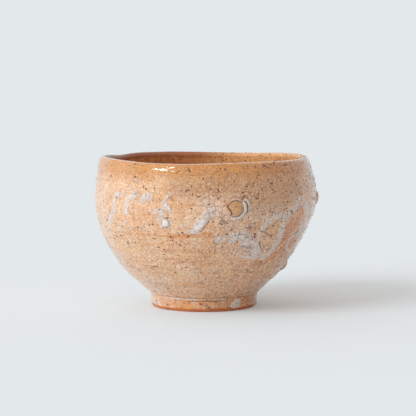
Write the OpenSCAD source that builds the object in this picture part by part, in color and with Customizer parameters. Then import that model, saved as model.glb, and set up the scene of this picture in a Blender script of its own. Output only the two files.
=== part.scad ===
// Hand-thrown tea bowl: a thrown clay wall on a luted foot ring, glazed inside and out,
// with runs of white slip and small clay pellets on its outside.
// Millimetres, +Z up. The origin is the centre of the foot's resting face and -Y is the front.

/* [Bowl] */
// Mean height of the lip's crest above the table
height = 81; // [77:0.2:88]
// Glazed radius at the belly, the widest place
belly_r = 60; // [57:0.5:64]
// Height of the belly
belly_z = 58; // [55:0.5:61]
// How straight the lower wall runs from belly to foot: 1 is an ellipse, more is straighter
wall_straightness = 1.31; // [1:0.01:1.4]
// Height of the upright neck between the foot and the swelling wall
neck_h = 0.5; // [0.3:0.1:1.5]
// Height of the ledge at which the trimming tool stopped
turning_z = 16.2; // [14:0.2:19]
// Depth of that ledge
turning_step = 0.9; // [0.3:0.1:1.2]
// Clay thickness of the wall at the belly
wall_t = 4.9; // [4:0.1:6.5]

/* [Lip] */
// Glazed thickness of the round lip
lip_t = 4.2; // [3.4:0.1:5]
// Angle by which the wall leans in where the lip begins
lip_lean = 18.5; // [12:0.5:24]
// Rise of the lip in front and its fall behind
lip_tilt = 0.75; // [0:0.05:1.2]
// Rise and fall of the lip in two waves round the rim
lip_wave_2 = 0.45; // [0:0.05:0.8]
// Rise and fall of the lip in four waves round the rim
lip_wave_4 = 0.3; // [0:0.05:0.8]
// Depth of the dip that a thumb left in the lip
lip_dip = 0.6; // [0:0.05:1]
// Angle of that dip round the rim, from +X
lip_dip_angle = 149; // [60:1:300]

/* [Hand throwing] */
// Sideways sway of the wall's axis between foot and lip
sway = 0.95; // [0:0.05:1.2]

/* [Inside] */
// Height of the clay floor at the centre
floor_z = 14; // [13:0.5:17]
// How square the inside runs from wall to floor: 1 is an ellipse, less is squarer
inner_squareness = 0.75; // [0.65:0.01:1]
// Radius of the shallow pool in the floor, where the last of the tea gathers
pool_r = 15; // [12:0.5:18]
// Depth of the step down into the pool
pool_step = 1; // [0.4:0.1:1.2]

/* [Glaze] */
// Thickness of the glaze outside
outer_glaze_t = 0.6; // [0.4:0.05:0.9]
// Thickness of the glaze inside
inner_glaze_t = 0.5; // [0.3:0.05:0.8]
// Thickness of the thin glaze on the foot, just under the rolled edge of the wall's thick coat
foot_glaze_t = 0.35; // [0.25:0.05:0.4]
// Height of the line on the foot where the dipped glaze stops
glaze_line_z = 2.4; // [2.2:0.1:4]
// Thickness of the glaze at that line
glaze_line_t = 0.2; // [0.15:0.01:0.25]

/* [Foot] */
// Height of the foot ring
foot_h = 7.7; // [7:0.1:8.4]
// Clay radius of the foot where it meets the wall
foot_top_r = 28.6; // [28.4:0.1:29.6]
// Clay radius of the foot at the table
foot_bottom_r = 28.3; // [27:0.1:28.5]
// Rounding of the foot's two lower edges
foot_edge_r = 1.8; // [0.8:0.1:1.9]
// Radius of the hollow under the bowl, at the table
hollow_mouth_r = 20.6; // [18:0.2:22]
// Radius of the hollow under the bowl, at its top
hollow_top_r = 19; // [16:0.2:20.5]
// Radius of the nub that the trimming tool leaves in the hollow
nub_r = 6; // [4:0.5:8]
// Height of that nub
nub_h = 1.2; // [0.6:0.1:2]

/* [Slip and pellets] */
// Thickness of a thin run of slip
slip_t = 0.45; // [0.3:0.05:0.7]
// Thickness of the heavy slip in the streak and the drop
slip_heavy_t = 1; // [0.6:0.1:1.4]
// Radius of the pellet in front
pellet_r = 4.25; // [3.5:0.05:4.6]
// Height of the pellet in front
pellet_h = 0.9; // [0.5:0.1:1.4]
// Radius of the ring of slip round the front pellet
halo_r = 6.2; // [5.6:0.1:6.8]

/* [Hidden] */

$fn = 96;
sides = 60;            // facets round the wall
trim_steps = 2;        // stations on the trimmed part of the wall, from the neck up to the ledge
lower_steps = 7;       // stations from the ledge up to the belly
floor_steps = 8;       // stations inside, from the belly down to the floor
upper_steps = 3;       // stations from the belly up to the lip
lip_steps = 2;         // stations in each half of the lip
run_steps = 10;        // stations along a run of slip
run_strips = 3;        // strips across a run of slip
pad_steps = 5;         // squares across a pellet
halo_steps = 18;       // stations round the halo
slip_rim_t = 0.15;     // thickness at the thin border of every run and pellet
pellet_gap = 0.25;     // open crevice between the front pellet and its halo
nub_tip = 0.4;         // flat tip of the nub, as a share of its radius
pool_centre = 0.33;    // flat middle of the pool, as a share of its radius
sway_start = 10;       // height at which the sway begins, just above the trimmed foot
sway_span = 34;        // height in which the sway goes over once to one side
wave_fade = 3;         // power by which the lip's wave dies out down the wall
lip_dip_span = 9;      // angle in which the lip's dip dies out to each side
turning_h = 0.5;       // height of the ledge's slope
run_tip = 0.04;        // share of a run's length by which its ends are blunt
run_nudge = 0.01;      // share of a run's length over which its direction is read

// Colours of the fired materials
clay_colour = "#bf8253";
foot_colour = "#c98650";
glaze_colour = "#cfa477";
inside_colour = "#a8693f";
slip_colour = "#dcd7d0";
pellet_colour = "#b98046";

// Places on the wall are written as [angle from +X in degrees, height in mm]; the front is 270.
// Each run of slip is one smooth curve, drawn by a few pull points.
arch_left_path = [[220.8, 63.7], [213, 62.2], [220.3, 52.3], [207.2, 43.7]];
arch_left_w = 4;
arch_path = [[226.4, 53.8], [226, 63.2], [232.2, 68.7], [236.6, 54.8], [243, 64.3]];
arch_w = 3.4;
hook_path = [[253.2, 66.3], [248.1, 61.8], [249.6, 59.9], [253.3, 55.9]];
hook_w = 3.2;
tail_path = [[243.1, 57.4], [245.7, 54.4], [249.2, 55.4], [247.2, 51.4]];
tail_w = 2.8;
streak_path = [[274.9, 56.1], [270.4, 54.9], [269.5, 46.4], [261.4, 45.1]];
streak_w = 4.4;
sheet_path = [[279.6, 41.4], [292.1, 43.9], [301.7, 42.8], [302.8, 30.2]];
sheet_w = 7;
loop_path = [[310.8, 53.5], [305.8, 51.4], [302.9, 49.4]];
loop_w = 3;
strand_path = [[330.6, 60.8], [310.7, 54.8], [321.3, 38.7], [309.5, 30.2]];
strand_w = 3.6;
edge_path = [[333.3, 58.3], [341.7, 49.3], [331.6, 44.3], [327.6, 33.1]];
edge_w = 3.2;

// Round pads: place, radius and, where it is their own, height
drop_place = [250.2, 49.3];
drop_r = 2.1;
pellet_place = [285, 57.7];
pellet_side_place = [357, 58.7];
pellet_side_r = 3.4;
pellet_side_h = 1.2;
pellet_low_place = [355, 21.9];
pellet_low_r = 2.8;
pellet_low_h = 1;

// Spot of slip on the foot, over the line where the glaze stops
foot_spot_angle = 306.3;
foot_spot_w = 7.2;
foot_spot_lobe = 0.18;
foot_spot_points = 24;
foot_spot_low_z = foot_edge_r + 0.2;
foot_spot_top_z = foot_h - 0.4;

function unit(v) = v / norm(v);

// Clay profile as [radius, height] stations, from the foot's top over the lip to the floor's middle
clay_r = belly_r - outer_glaze_t;
inner_r = clay_r - wall_t;
lip_clay_r = lip_t / 2 - outer_glaze_t;
lip_start_z = height - outer_glaze_t - lip_clay_r * (1 - sin(lip_lean));
upper_arc_r = (lip_start_z - belly_z) / sin(lip_lean);
lip_centre_r = clay_r - upper_arc_r * (1 - cos(lip_lean)) - lip_clay_r * cos(lip_lean);
lip_centre_z = lip_start_z - lip_clay_r * sin(lip_lean);
inner_lean = 2 * atan((inner_r - lip_centre_r + lip_clay_r) / (lip_centre_z - belly_z));
inner_arc_r = (lip_centre_z + lip_clay_r * sin(inner_lean) - belly_z) / sin(inner_lean);
neck_turn = acos(foot_top_r / clay_r);
wall_drop = (belly_z - foot_h - neck_h) / pow(sin(neck_turn), wall_straightness);
pool_turn = acos(pool_r / inner_r);
pool_edge_z = inner_lower(pool_turn)[1];

function turn_at(z) = asin(pow((belly_z - z) / wall_drop, 1 / wall_straightness));
function outer_lower(turn) = [clay_r * cos(turn), belly_z - wall_drop * pow(sin(turn), wall_straightness)];
function outer_trimmed(share) =
    outer_lower(neck_turn + share * (turn_at(turning_z - turning_h) - neck_turn)) - [turning_step * share, 0];
function outer_upper(turn) = [clay_r - upper_arc_r * (1 - cos(turn)), belly_z + upper_arc_r * sin(turn)];
function lip_arc(turn) = [lip_centre_r + lip_clay_r * cos(turn), lip_centre_z + lip_clay_r * sin(turn)];
function inner_upper(turn) = [inner_r - inner_arc_r * (1 - cos(turn)), belly_z + inner_arc_r * sin(turn)];
function inner_lower(turn) =
    [inner_r * cos(turn), belly_z - (belly_z - floor_z) * pow(sin(turn), inner_squareness)];

clay_line = [
    [foot_top_r, foot_h],
    for (i = [0:trim_steps]) outer_trimmed(i / trim_steps),
    for (i = [0:lower_steps]) outer_lower(turn_at(turning_z) * (1 - i / lower_steps)),
    for (i = [1:upper_steps - 1]) outer_upper(lip_lean * i / upper_steps),
    for (i = [0:lip_steps]) lip_arc(lip_lean + (90 - lip_lean) * i / lip_steps),
    for (i = [1:lip_steps]) lip_arc(90 + (90 - inner_lean) * i / lip_steps),
    for (i = [1:upper_steps - 1]) inner_upper(inner_lean * (1 - i / upper_steps)),
    for (i = [0:floor_steps]) inner_lower(pool_turn * i / floor_steps),
    [pool_r - pool_step, pool_edge_z - pool_step],
    [pool_r * pool_centre, floor_z - pool_step]
];
last = len(clay_line) - 1;
crest = 2 + trim_steps + lower_steps + upper_steps + lip_steps;

// Glazed profile: each clay station moved out along the wall's own normal
function profile_normal(k) =
    let (along = unit(clay_line[min(k + 1, last)] - clay_line[max(k - 1, 0)])) [along[1], -along[0]];
glaze_line = [
    for (k = [0:last]) clay_line[k] + (k > crest ? inner_glaze_t : outer_glaze_t) * profile_normal(k)
];

// One station becomes a ring: round, then swayed, and waved and dipped at the lip
function lip_wave(angle) =
    lip_wave_2 * cos(2 * angle) + lip_wave_4 * sin(4 * angle) - lip_tilt * sin(angle)
    - lip_dip * exp(-pow((angle - lip_dip_angle) / lip_dip_span, 2));
function rise(z) = max(0, (z - foot_h) / (height - foot_h));
function axis_sway(z) = z > sway_start ? sway * sin(180 * ((z - sway_start) / sway_span - 1)) : 0;
function thrown(station, angle) =
    let (
        r = station[0],
        z = station[1]
    )
    [
        r * cos(angle) + r / belly_r * axis_sway(z),
        r * sin(angle),
        z + lip_wave(angle) * pow(rise(z), wave_fade)
    ];
function ring(station) = [for (i = [0:sides - 1]) thrown(station, 360 * i / sides)];

clay_rings = [for (station = clay_line) ring(station)];
glaze_rings = [for (station = glaze_line) ring(station)];

// Skin over a stack of rings, joined end to start or closed by a flat face at each end
module loft(rings, joined = false) {
    count = len(rings);
    function at(k, i) = (k % count) * sides + i % sides;
    skin = [
        for (k = [0:count - (joined ? 1 : 2)])
            for (i = [0:sides - 1])
                each [
                    [at(k, i), at(k + 1, i), at(k + 1, i + 1)],
                    [at(k, i), at(k + 1, i + 1), at(k, i + 1)]
                ]
    ];
    ends = [[for (i = [0:sides - 1]) at(0, i)], [for (i = [sides - 1:-1:0]) at(count - 1, i)]];
    polyhedron([for (r = rings) each r], joined ? skin : concat(skin, ends), convexity = 6);
}

// A point of the outer glaze's faceted surface at an angle and height, moved out by lift
function band(z) = max([for (k = [0:crest - 1]) if (z >= glaze_line[k][1]) k]);
function glaze_point(place, lift) =
    let (
        k = band(place[1]),
        up = (place[1] - glaze_line[k][1]) / (glaze_line[k + 1][1] - glaze_line[k][1]),
        turn = place[0] * sides / 360,
        i = floor(turn),
        round = turn - i,
        a = glaze_rings[k][i % sides],
        b = glaze_rings[k][(i + 1) % sides],
        c = glaze_rings[k + 1][(i + 1) % sides],
        d = glaze_rings[k + 1][i % sides],
        on = round > up ? a + round * (b - a) + up * (c - b) : a + up * (d - a) + round * (c - d)
    )
    on + lift * unit(cross(b - a, d - a));

// Degrees round the wall for one millimetre of arc at a height
function degrees_per_mm(z) = 180 / (PI * glaze_line[band(z)][0]);
function beside(place, right, up) = [place[0] + right * degrees_per_mm(place[1]), place[1] + up];

// Closed plate that lies on the glaze: rows of [angle, height, thickness], wrapped or with two ends
module plate(rows, wrapped = false) {
    count = len(rows);
    width = len(rows[0]);
    area = count * width;
    function top(i, j) = (i % count) * width + j;
    function under(i, j) = area + top(i, j);
    function quad(a, b, c, d) = [[a, b, c], [a, c, d]];
    edge = width - 1;
    end = count - 1;
    steps = wrapped ? end : end - 1;
    faces = [
        for (i = [0:steps], j = [0:edge - 1]) each concat(
            quad(top(i, j), top(i, j + 1), top(i + 1, j + 1), top(i + 1, j)),
            quad(under(i, j), under(i + 1, j), under(i + 1, j + 1), under(i, j + 1))
        ),
        for (i = [0:steps]) each concat(
            quad(top(i, 0), top(i + 1, 0), under(i + 1, 0), under(i, 0)),
            quad(top(i + 1, edge), top(i, edge), under(i, edge), under(i + 1, edge))
        ),
        if (!wrapped) for (j = [0:edge - 1]) each concat(
            quad(top(0, j + 1), top(0, j), under(0, j), under(0, j + 1)),
            quad(top(end, j), top(end, j + 1), under(end, j + 1), under(end, j))
        )
    ];
    points = concat(
        [for (row = rows) for (p = row) glaze_point(p, p[2])],
        [for (row = rows) for (p = row) glaze_point(p, 0)]
    );
    polyhedron(points, faces, convexity = 4);
}

// Point of a smooth curve drawn by any number of pull points
function curve(pulls, t) =
    len(pulls) == 1 ? pulls[0] : curve(
        [for (i = [0:len(pulls) - 2]) (1 - t) * pulls[i] + t * pulls[i + 1]], t
    );

// Run of slip along a curve: round-ended, thickest in its middle, thin at its border
module run(path, width, t) {
    rows = [
        for (i = [0:run_steps])
            let (
                s = i / run_steps,
                middle = curve(path, s),
                ahead = curve(path, min(1, s + run_nudge)) - curve(path, max(0, s - run_nudge)),
                mm = degrees_per_mm(middle[1]),
                along = unit([ahead[0] / mm, ahead[1]]),
                swell = sqrt(sin(180 * (run_tip + (1 - 2 * run_tip) * s)))
            )
            [
                for (j = [0:run_strips])
                    let (
                        across = 2 * j / run_strips - 1,
                        offset = across * swell * width / 2,
                        place = beside(middle, -offset * along[1], offset * along[0])
                    )
                    [place[0], place[1], slip_rim_t + (t - slip_rim_t) * swell * (1 - across * across)]
            ]
    ];
    plate(rows);
}

// Round pad with a domed top
module pad(place, r, t) {
    rows = [
        for (i = [0:pad_steps])
            [
                for (j = [0:pad_steps])
                    let (
                        u = 2 * i / pad_steps - 1,
                        v = 2 * j / pad_steps - 1,
                        x = u * sqrt(1 - v * v / 2),
                        y = v * sqrt(1 - u * u / 2),
                        dome = sqrt(max(0, 1 - pow(x * x + y * y, 2)))
                    )
                    concat(beside(place, r * x, r * y), slip_rim_t + (t - slip_rim_t) * dome)
            ]
    ];
    plate(rows);
}

// Ring of slip round a pad
module halo(place, inner, outer, t) {
    rows = [
        for (i = [0:halo_steps - 1])
            let (turn = 360 * i / halo_steps)
            [
                for (share = [0:0.5:1])
                    let (
                        r = outer + share * (inner - outer),
                        hump = 1 - abs(2 * share - 1)
                    )
                    concat(beside(place, r * cos(turn), r * sin(turn)), slip_rim_t + (t - slip_rim_t) * hump)
            ]
    ];
    plate(rows, wrapped = true);
}

// Clay radius of the foot's side at a height
function foot_side_r(z) = foot_bottom_r + (foot_top_r - foot_bottom_r) * z / foot_h;

module clay_wall() {
    nub = [[nub_r * nub_tip, foot_h - nub_h], [nub_r, foot_h]];
    color(clay_colour) loft(concat([for (station = nub) ring(station)], clay_rings));
}

module foot_ring() {
    color(foot_colour) rotate_extrude() {
        difference() {
            polygon([
                [hollow_mouth_r, 0],
                [foot_bottom_r, 0],
                [foot_top_r, foot_h],
                [hollow_top_r, foot_h]
            ]);
            translate([foot_side_r(foot_edge_r) - foot_edge_r, 0]) foot_edge();
            translate([hollow_mouth_r + foot_edge_r, 0]) mirror([1, 0]) foot_edge();
        }
    }
}

// Corner that is wiped away from the foot's lower edge
module foot_edge() {
    difference() {
        translate([0, -foot_edge_r]) square(2 * foot_edge_r);
        translate([0, foot_edge_r]) circle(foot_edge_r);
    }
}

module outer_glaze() {
    outside = [for (k = [0:crest]) glaze_rings[k]];
    seat = [for (k = [crest:-1:0]) clay_rings[k]];
    color(glaze_colour) loft(concat(outside, seat), joined = true);
}

module inner_glaze() {
    seat = [for (k = [last:-1:crest]) clay_rings[k]];
    inside = [for (k = [crest:last]) glaze_rings[k]];
    color(inside_colour) loft(concat(seat, inside));
}

module foot_glaze() {
    color(glaze_colour) rotate_extrude() polygon([
        [foot_side_r(glaze_line_z), glaze_line_z],
        [foot_side_r(glaze_line_z) + glaze_line_t, glaze_line_z],
        [foot_top_r + foot_glaze_t, foot_h],
        [foot_top_r, foot_h]
    ]);
}

module slip_arch_left() { color(slip_colour) run(arch_left_path, arch_left_w, slip_t); }
module slip_arch() { color(slip_colour) run(arch_path, arch_w, slip_t); }
module slip_hook() { color(slip_colour) run(hook_path, hook_w, slip_t); }
module slip_tail() { color(slip_colour) run(tail_path, tail_w, slip_t); }
module slip_drop() { color(slip_colour) pad(drop_place, drop_r, slip_heavy_t); }
module slip_streak() { color(slip_colour) run(streak_path, streak_w, slip_heavy_t); }
module slip_halo() { color(slip_colour) halo(pellet_place, pellet_r + pellet_gap, halo_r, slip_t); }
module slip_sheet() { color(slip_colour) run(sheet_path, sheet_w, slip_t); }
module slip_loop() { color(slip_colour) run(loop_path, loop_w, slip_t); }
module slip_strand() { color(slip_colour) run(strand_path, strand_w, slip_t); }
module slip_edge() { color(slip_colour) run(edge_path, edge_w, slip_t); }
module pellet_front() { color(pellet_colour) pad(pellet_place, pellet_r, pellet_h); }
module pellet_side() { color(pellet_colour) pad(pellet_side_place, pellet_side_r, pellet_side_h); }
module pellet_low() { color(pellet_colour) pad(pellet_low_place, pellet_low_r, pellet_low_h); }

// Thin lobed patch that follows the foot's side, cut from a turned skin by its own outline
module slip_foot_spot() {
    glaze_growth = (foot_glaze_t - glaze_line_t) / (foot_h - glaze_line_z);
    glaze_top_t = glaze_line_t + glaze_growth * (foot_spot_top_z - glaze_line_z);
    glazed_top_r = foot_side_r(foot_spot_top_z) + glaze_top_t;
    skin = [
        [foot_side_r(foot_spot_low_z), foot_spot_low_z],
        [foot_side_r(glaze_line_z), glaze_line_z],
        [foot_side_r(glaze_line_z) + glaze_line_t, glaze_line_z],
        [glazed_top_r, foot_spot_top_z],
        [glazed_top_r + slip_rim_t, foot_spot_top_z],
        [foot_side_r(glaze_line_z) + glaze_line_t + slip_rim_t, glaze_line_z],
        [foot_side_r(foot_spot_low_z) + slip_rim_t, foot_spot_low_z]
    ];
    half_w = foot_spot_w / 2;
    half_h = (foot_spot_top_z - foot_spot_low_z) / 2;
    outline = [
        for (i = [0:foot_spot_points - 1])
            let (
                turn = 360 * i / foot_spot_points,
                reach = 1 - foot_spot_lobe * (1 + cos(3 * turn)) / 2
            )
            reach * [half_w * cos(turn), half_h * sin(turn)]
    ];
    color(slip_colour) rotate([0, 0, foot_spot_angle]) intersection() {
        rotate([0, 0, -90]) rotate_extrude(angle = 180) polygon(skin);
        translate([0, 0, foot_spot_low_z + half_h])
            rotate([90, 0, 90])
                linear_extrude(foot_top_r + halo_r) polygon(outline);
    }
}

clay_wall();
foot_ring();
outer_glaze();
inner_glaze();
foot_glaze();
slip_arch_left();
slip_arch();
slip_hook();
slip_tail();
slip_drop();
slip_streak();
slip_halo();
slip_sheet();
slip_loop();
slip_strand();
slip_edge();
slip_foot_spot();
pellet_front();
pellet_side();
pellet_low();
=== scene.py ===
"""Looks of a hand-thrown tea bowl, built round its CAD model.

The wall, its coats, the slip and the pellets are first made turned and true, as on a wheel. One Geometry
Nodes tree then throws them all by hand: it sways the axis, tilts and waves the lip, and raises the rings and
swells that fingers leave. Lengths are millimetres until a mesh is made. Angles are degrees, anticlockwise
from the right as seen from above, so the front is at 270.
"""

import logging
import math
from collections.abc import Mapping, Sequence
from dataclasses import asdict, dataclass, replace
from enum import Enum

import bpy
import numpy as np
from bpy.types import Material, Mesh, Node, NodeSocket, NodeTree, Object
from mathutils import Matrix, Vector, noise


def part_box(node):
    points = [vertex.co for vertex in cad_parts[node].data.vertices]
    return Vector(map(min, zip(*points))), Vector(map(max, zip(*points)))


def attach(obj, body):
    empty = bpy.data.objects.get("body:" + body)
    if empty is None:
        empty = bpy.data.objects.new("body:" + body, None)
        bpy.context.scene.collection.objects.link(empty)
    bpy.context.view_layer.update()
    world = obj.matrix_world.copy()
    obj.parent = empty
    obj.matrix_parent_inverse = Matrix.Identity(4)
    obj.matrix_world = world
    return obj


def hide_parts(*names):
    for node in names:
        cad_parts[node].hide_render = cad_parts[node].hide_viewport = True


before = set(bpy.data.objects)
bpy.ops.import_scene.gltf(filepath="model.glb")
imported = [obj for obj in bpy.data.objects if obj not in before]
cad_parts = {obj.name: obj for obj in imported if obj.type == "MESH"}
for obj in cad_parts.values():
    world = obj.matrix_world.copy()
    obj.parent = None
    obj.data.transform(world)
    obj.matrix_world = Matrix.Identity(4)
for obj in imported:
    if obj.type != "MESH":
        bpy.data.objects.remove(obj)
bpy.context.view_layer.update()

log = logging.getLogger("tea_bowl")
MM = 0.001
BAKE_MAP = "OFBake"
# Shares of the bake map: the gap round each of its two strips, the height of a strip's seen rings, the part
# of that height that its unseen rings get, and the spot that all triangles of a pole share
BAKE_GAP = 0.01
BAKE_SEEN = 0.455
BAKE_UNSEEN = 0.04
BAKE_POLES = ((0.5, 0.985), (0.53, 0.985))
# Radius of the last ring before a skin closes in a point
POLE_R = 0.4
# How far apart in the noise the patterns of two seeds lie
SEED_STEP = np.array([17.3, -9.1, 5.7])
Array = np.ndarray
Marks = Mapping[str, Array]
Inputs = Mapping[int | str, object]
Place = tuple[float, float]


class Ends(Enum):
    """How a stack of rings is closed."""

    JOINED = "last ring to first"
    POLES = "a point at each end"


class Spread(Enum):
    """How evenly the columns of a turned skin lie round the bowl."""

    EVEN = 0.0
    FINE_IN_FRONT = 0.36


# Small helpers


def linear(hex_colour: str) -> tuple[float, float, float, float]:
    """Red, green, blue and alpha in linear light of an sRGB colour that is written as "#rrggbb"."""
    parts = [int(hex_colour[i : i + 2], 16) / 255 for i in (1, 3, 5)]
    return (*(c / 12.92 if c <= 0.04045 else ((c + 0.055) / 1.055) ** 2.4 for c in parts), 1.0)


def add(tree: NodeTree, kind: str, inputs: Inputs | None = None, **settings: object) -> Node:
    """Adds one node with its settings and links.

    Args:
        tree: the node tree.
        kind: the node's type name.
        inputs: what each input takes, by name or number: a node, a socket or a plain value.
        settings: the node's own properties.

    Returns:
        The node.
    """
    node = tree.nodes.new(kind)
    for key, value in settings.items():
        setattr(node, key, value)
    for key, value in (inputs or {}).items():
        if isinstance(key, str):
            socket = next(s for s in node.inputs if s.name == key and s.enabled)
        else:
            socket = node.inputs[key]
        if isinstance(value, Node):
            value = next(s for s in value.outputs if s.enabled)
        if isinstance(value, NodeSocket):
            tree.links.new(value, socket)
        else:
            socket.default_value = value
    return node


def swirl(points: Array, size: float, seed: int) -> Array:
    """Smooth noise from about -1 to 1 at each point, by the width of one swell and which pattern."""
    shifted = points.reshape(-1, 3) / size + SEED_STEP * seed
    return np.array([noise.noise(p) for p in shifted.tolist()]).reshape(points.shape[:-1])


def smooth(x: Array, low: float, high: float) -> Array:
    """Smooth step from 0 at low to 1 at high."""
    t = np.clip((x - low) / (high - low), 0, 1)
    return t * t * (3 - 2 * t)


def bell(x: Array, middle: float, half: float) -> Array:
    """Smooth hump, 1 at its middle and about a third at half its width from there."""
    return np.exp(-(((x - middle) / half) ** 2))


def respaced(line: Array, count: int, crowding: Array | None = None) -> Array:
    """Spaces the stations of a profile evenly.

    Args:
        line: rows of radius and height.
        count: how many stations come back.
        crowding: how much closer the stations stand at each row, 1 where it is left out.

    Returns:
        The new rows.
    """
    steps = np.linalg.norm(np.diff(line, axis=0), axis=1)
    if crowding is not None:
        steps = steps * (crowding[1:] + crowding[:-1]) / 2
    run = np.concatenate(([0], np.cumsum(steps)))
    at = np.linspace(0, run[-1], count)
    return np.column_stack([np.interp(at, run, line[:, i]) for i in (0, 1)])


def threaded(places: Sequence[Place], count: int) -> Array:
    """Draws a smooth curve through places.

    Args:
        places: angle and height of each place.
        count: how many points come back.

    Returns:
        Rows of angle and height along the curve.
    """
    knots = np.array([places[0], *places, places[-1]], float)
    at = np.linspace(0, len(places) - 1 - 1e-9, count)
    start = at.astype(int)
    t = (at - start)[:, None]
    a, b, c, d = (knots[start + i] for i in range(4))
    return 0.5 * (2 * b + (c - a) * t + (2 * a - 5 * b + 4 * c - d) * t**2 + (3 * b - a - 3 * c + d) * t**3)


def outward(line: Array) -> Array:
    """Works out the unit normals of a profile.

    Args:
        line: rows of radius and height that run up the outside, over the lip and down the inside.

    Returns:
        The way out of the profile at each row.
    """
    along = np.gradient(line, axis=0)
    normal = np.column_stack((along[:, 1], -along[:, 0]))
    return normal / np.linalg.norm(normal, axis=1)[:, None]


def columns(count: int, spread: Spread) -> Array:
    """One row with the angles of a turned skin's columns, closer in front where the spread says so."""
    even = np.linspace(0, 2 * math.pi, count, endpoint=False)
    return np.degrees(even - spread.value * np.cos(even))[None, :]


def turned(radius: Array, height: Array, angle: Array) -> Array:
    """Places in millimetres from radius, height and angle."""
    turn = np.radians(angle)
    return np.stack(np.broadcast_arrays(radius * np.cos(turn), radius * np.sin(turn), height), axis=-1)


def spun(line: Array, angle: Array) -> Array:
    """Turns a profile, or its normals, round the axis."""
    return turned(line[:, :1], line[:, 1:], angle)


def bow(centre_r: float, centre_z: float, radius: float, turn: Array) -> Array:
    """Rows of radius and height along an arc round a centre."""
    return np.column_stack((centre_r + radius * np.cos(turn), centre_z + radius * np.sin(turn)))


@dataclass(frozen=True)
class Skin:
    """Points and faces of a mesh in the making."""

    points: Array  # x, y and z in millimetres
    out: Array  # the way out of the surface at each point, for the relief that hand throwing leaves
    faces: list[list[int]]  # corners of each face
    marks: dict[str, Array]  # values at each point that the materials read
    bake: Array | None = None  # bake-map place of each corner, in the order of the faces, or None

    @classmethod
    def joined(cls, skins: Sequence["Skin"]) -> "Skin":
        """Puts several skins side by side in one mesh.

        Args:
            skins: the skins.

        Returns:
            One skin; a mark that one of them lacks is 0 there.
        """
        starts = np.cumsum([0] + [len(s.points) for s in skins])
        names = sorted({name for s in skins for name in s.marks})
        return cls(
            points=np.vstack([s.points for s in skins]),
            out=np.vstack([s.out for s in skins]),
            faces=[[c + int(start) for c in face] for s, start in zip(skins, starts) for face in s.faces],
            marks={
                n: np.concatenate([s.marks.get(n, np.zeros(len(s.points))) for s in skins]) for n in names
            },
        )

    def mesh(self, name: str) -> Mesh:
        """Makes the mesh.

        Args:
            name: name of the mesh.

        Returns:
            The mesh, in metres, with its marks and its bake map.
        """
        mesh = bpy.data.meshes.new(name)
        mesh.from_pydata((self.points * MM).tolist(), [], self.faces)
        mesh.shade_smooth()
        for mark, values in self.marks.items():
            mesh.attributes.new(mark, "FLOAT", "POINT").data.foreach_set("value", values.astype(np.float32))
        out = mesh.attributes.new("out", "FLOAT_VECTOR", "POINT")
        out.data.foreach_set("vector", self.out.astype(np.float32).ravel())
        if self.bake is not None:
            mesh.uv_layers.new(name=BAKE_MAP).data.foreach_set("uv", self.bake.astype(np.float32).ravel())
        return mesh


def ring_skin(rings: Array, out: Array, ends: Ends, shown: int, marks: Marks) -> Skin:
    """Skins a stack of rings, which runs up the outside and counts its points anticlockwise from above.

    Args:
        rings: places by ring and column, in millimetres.
        out: the way out at each of those places.
        ends: how the stack is closed.
        shown: how many rings from the first are seen; they get nearly the whole bake map.
        marks: values by ring and column.

    Returns:
        The skin.
    """
    count, around = rings.shape[:2]
    bands = count if ends is Ends.JOINED else count - 1
    k, i = np.meshgrid(np.arange(bands), np.arange(around), indexing="ij")
    corners = [(k, i), (k, i + 1), (k + 1, i + 1), (k + 1, i)]
    quads = np.stack([(row % count) * around + column % around for row, column in corners], -1)

    # The bake map holds two strips, one for each half of the turn, with the unseen rings in a thin margin.
    steps = np.linalg.norm(np.diff(rings, axis=0), axis=2).mean(1)
    level = np.concatenate(([0], np.cumsum(steps), [0]))
    level = np.where(np.arange(count + 1) < shown, level / level[shown - 1], 1.0)
    level[shown:] += BAKE_UNSEEN * np.linspace(0.2, 1, count + 1 - shown)
    half = around // 2
    strip = (i >= half).astype(float)
    spots = []
    for row, column in corners:
        u = BAKE_GAP + (1 - 2 * BAKE_GAP) * (column - strip * half) / half
        v = strip / 2 + BAKE_GAP + BAKE_SEEN * level[row]
        spots.append(np.stack((u, v), -1))
    bake = np.stack(spots, -2).reshape(-1, 2)

    faces = quads.reshape(-1, 4).tolist()
    points = rings.reshape(-1, 3)
    ways = out.reshape(-1, 3)
    flat = {name: np.asarray(values).ravel() for name, values in marks.items()}
    if ends is Ends.POLES:
        first, last = len(points), len(points) + 1
        top = (count - 1) * around
        points = np.vstack((points, rings[0].mean(0), rings[-1].mean(0)))
        ways = np.vstack((ways, out[0].mean(0), out[-1].mean(0)))
        flat = {n: np.concatenate((v, [v[:around].mean()], [v[-around:].mean()])) for n, v in flat.items()}
        faces += [[first, (c + 1) % around, c] for c in range(around)]
        faces += [[last, top + c, top + (c + 1) % around] for c in range(around)]
        fans = [[(u, v), (u + BAKE_GAP, v), (u, v + BAKE_GAP / 2)] * around for u, v in BAKE_POLES]
        bake = np.vstack((bake, *np.array(fans)))
    return Skin(points, ways, faces, flat, bake)


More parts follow.
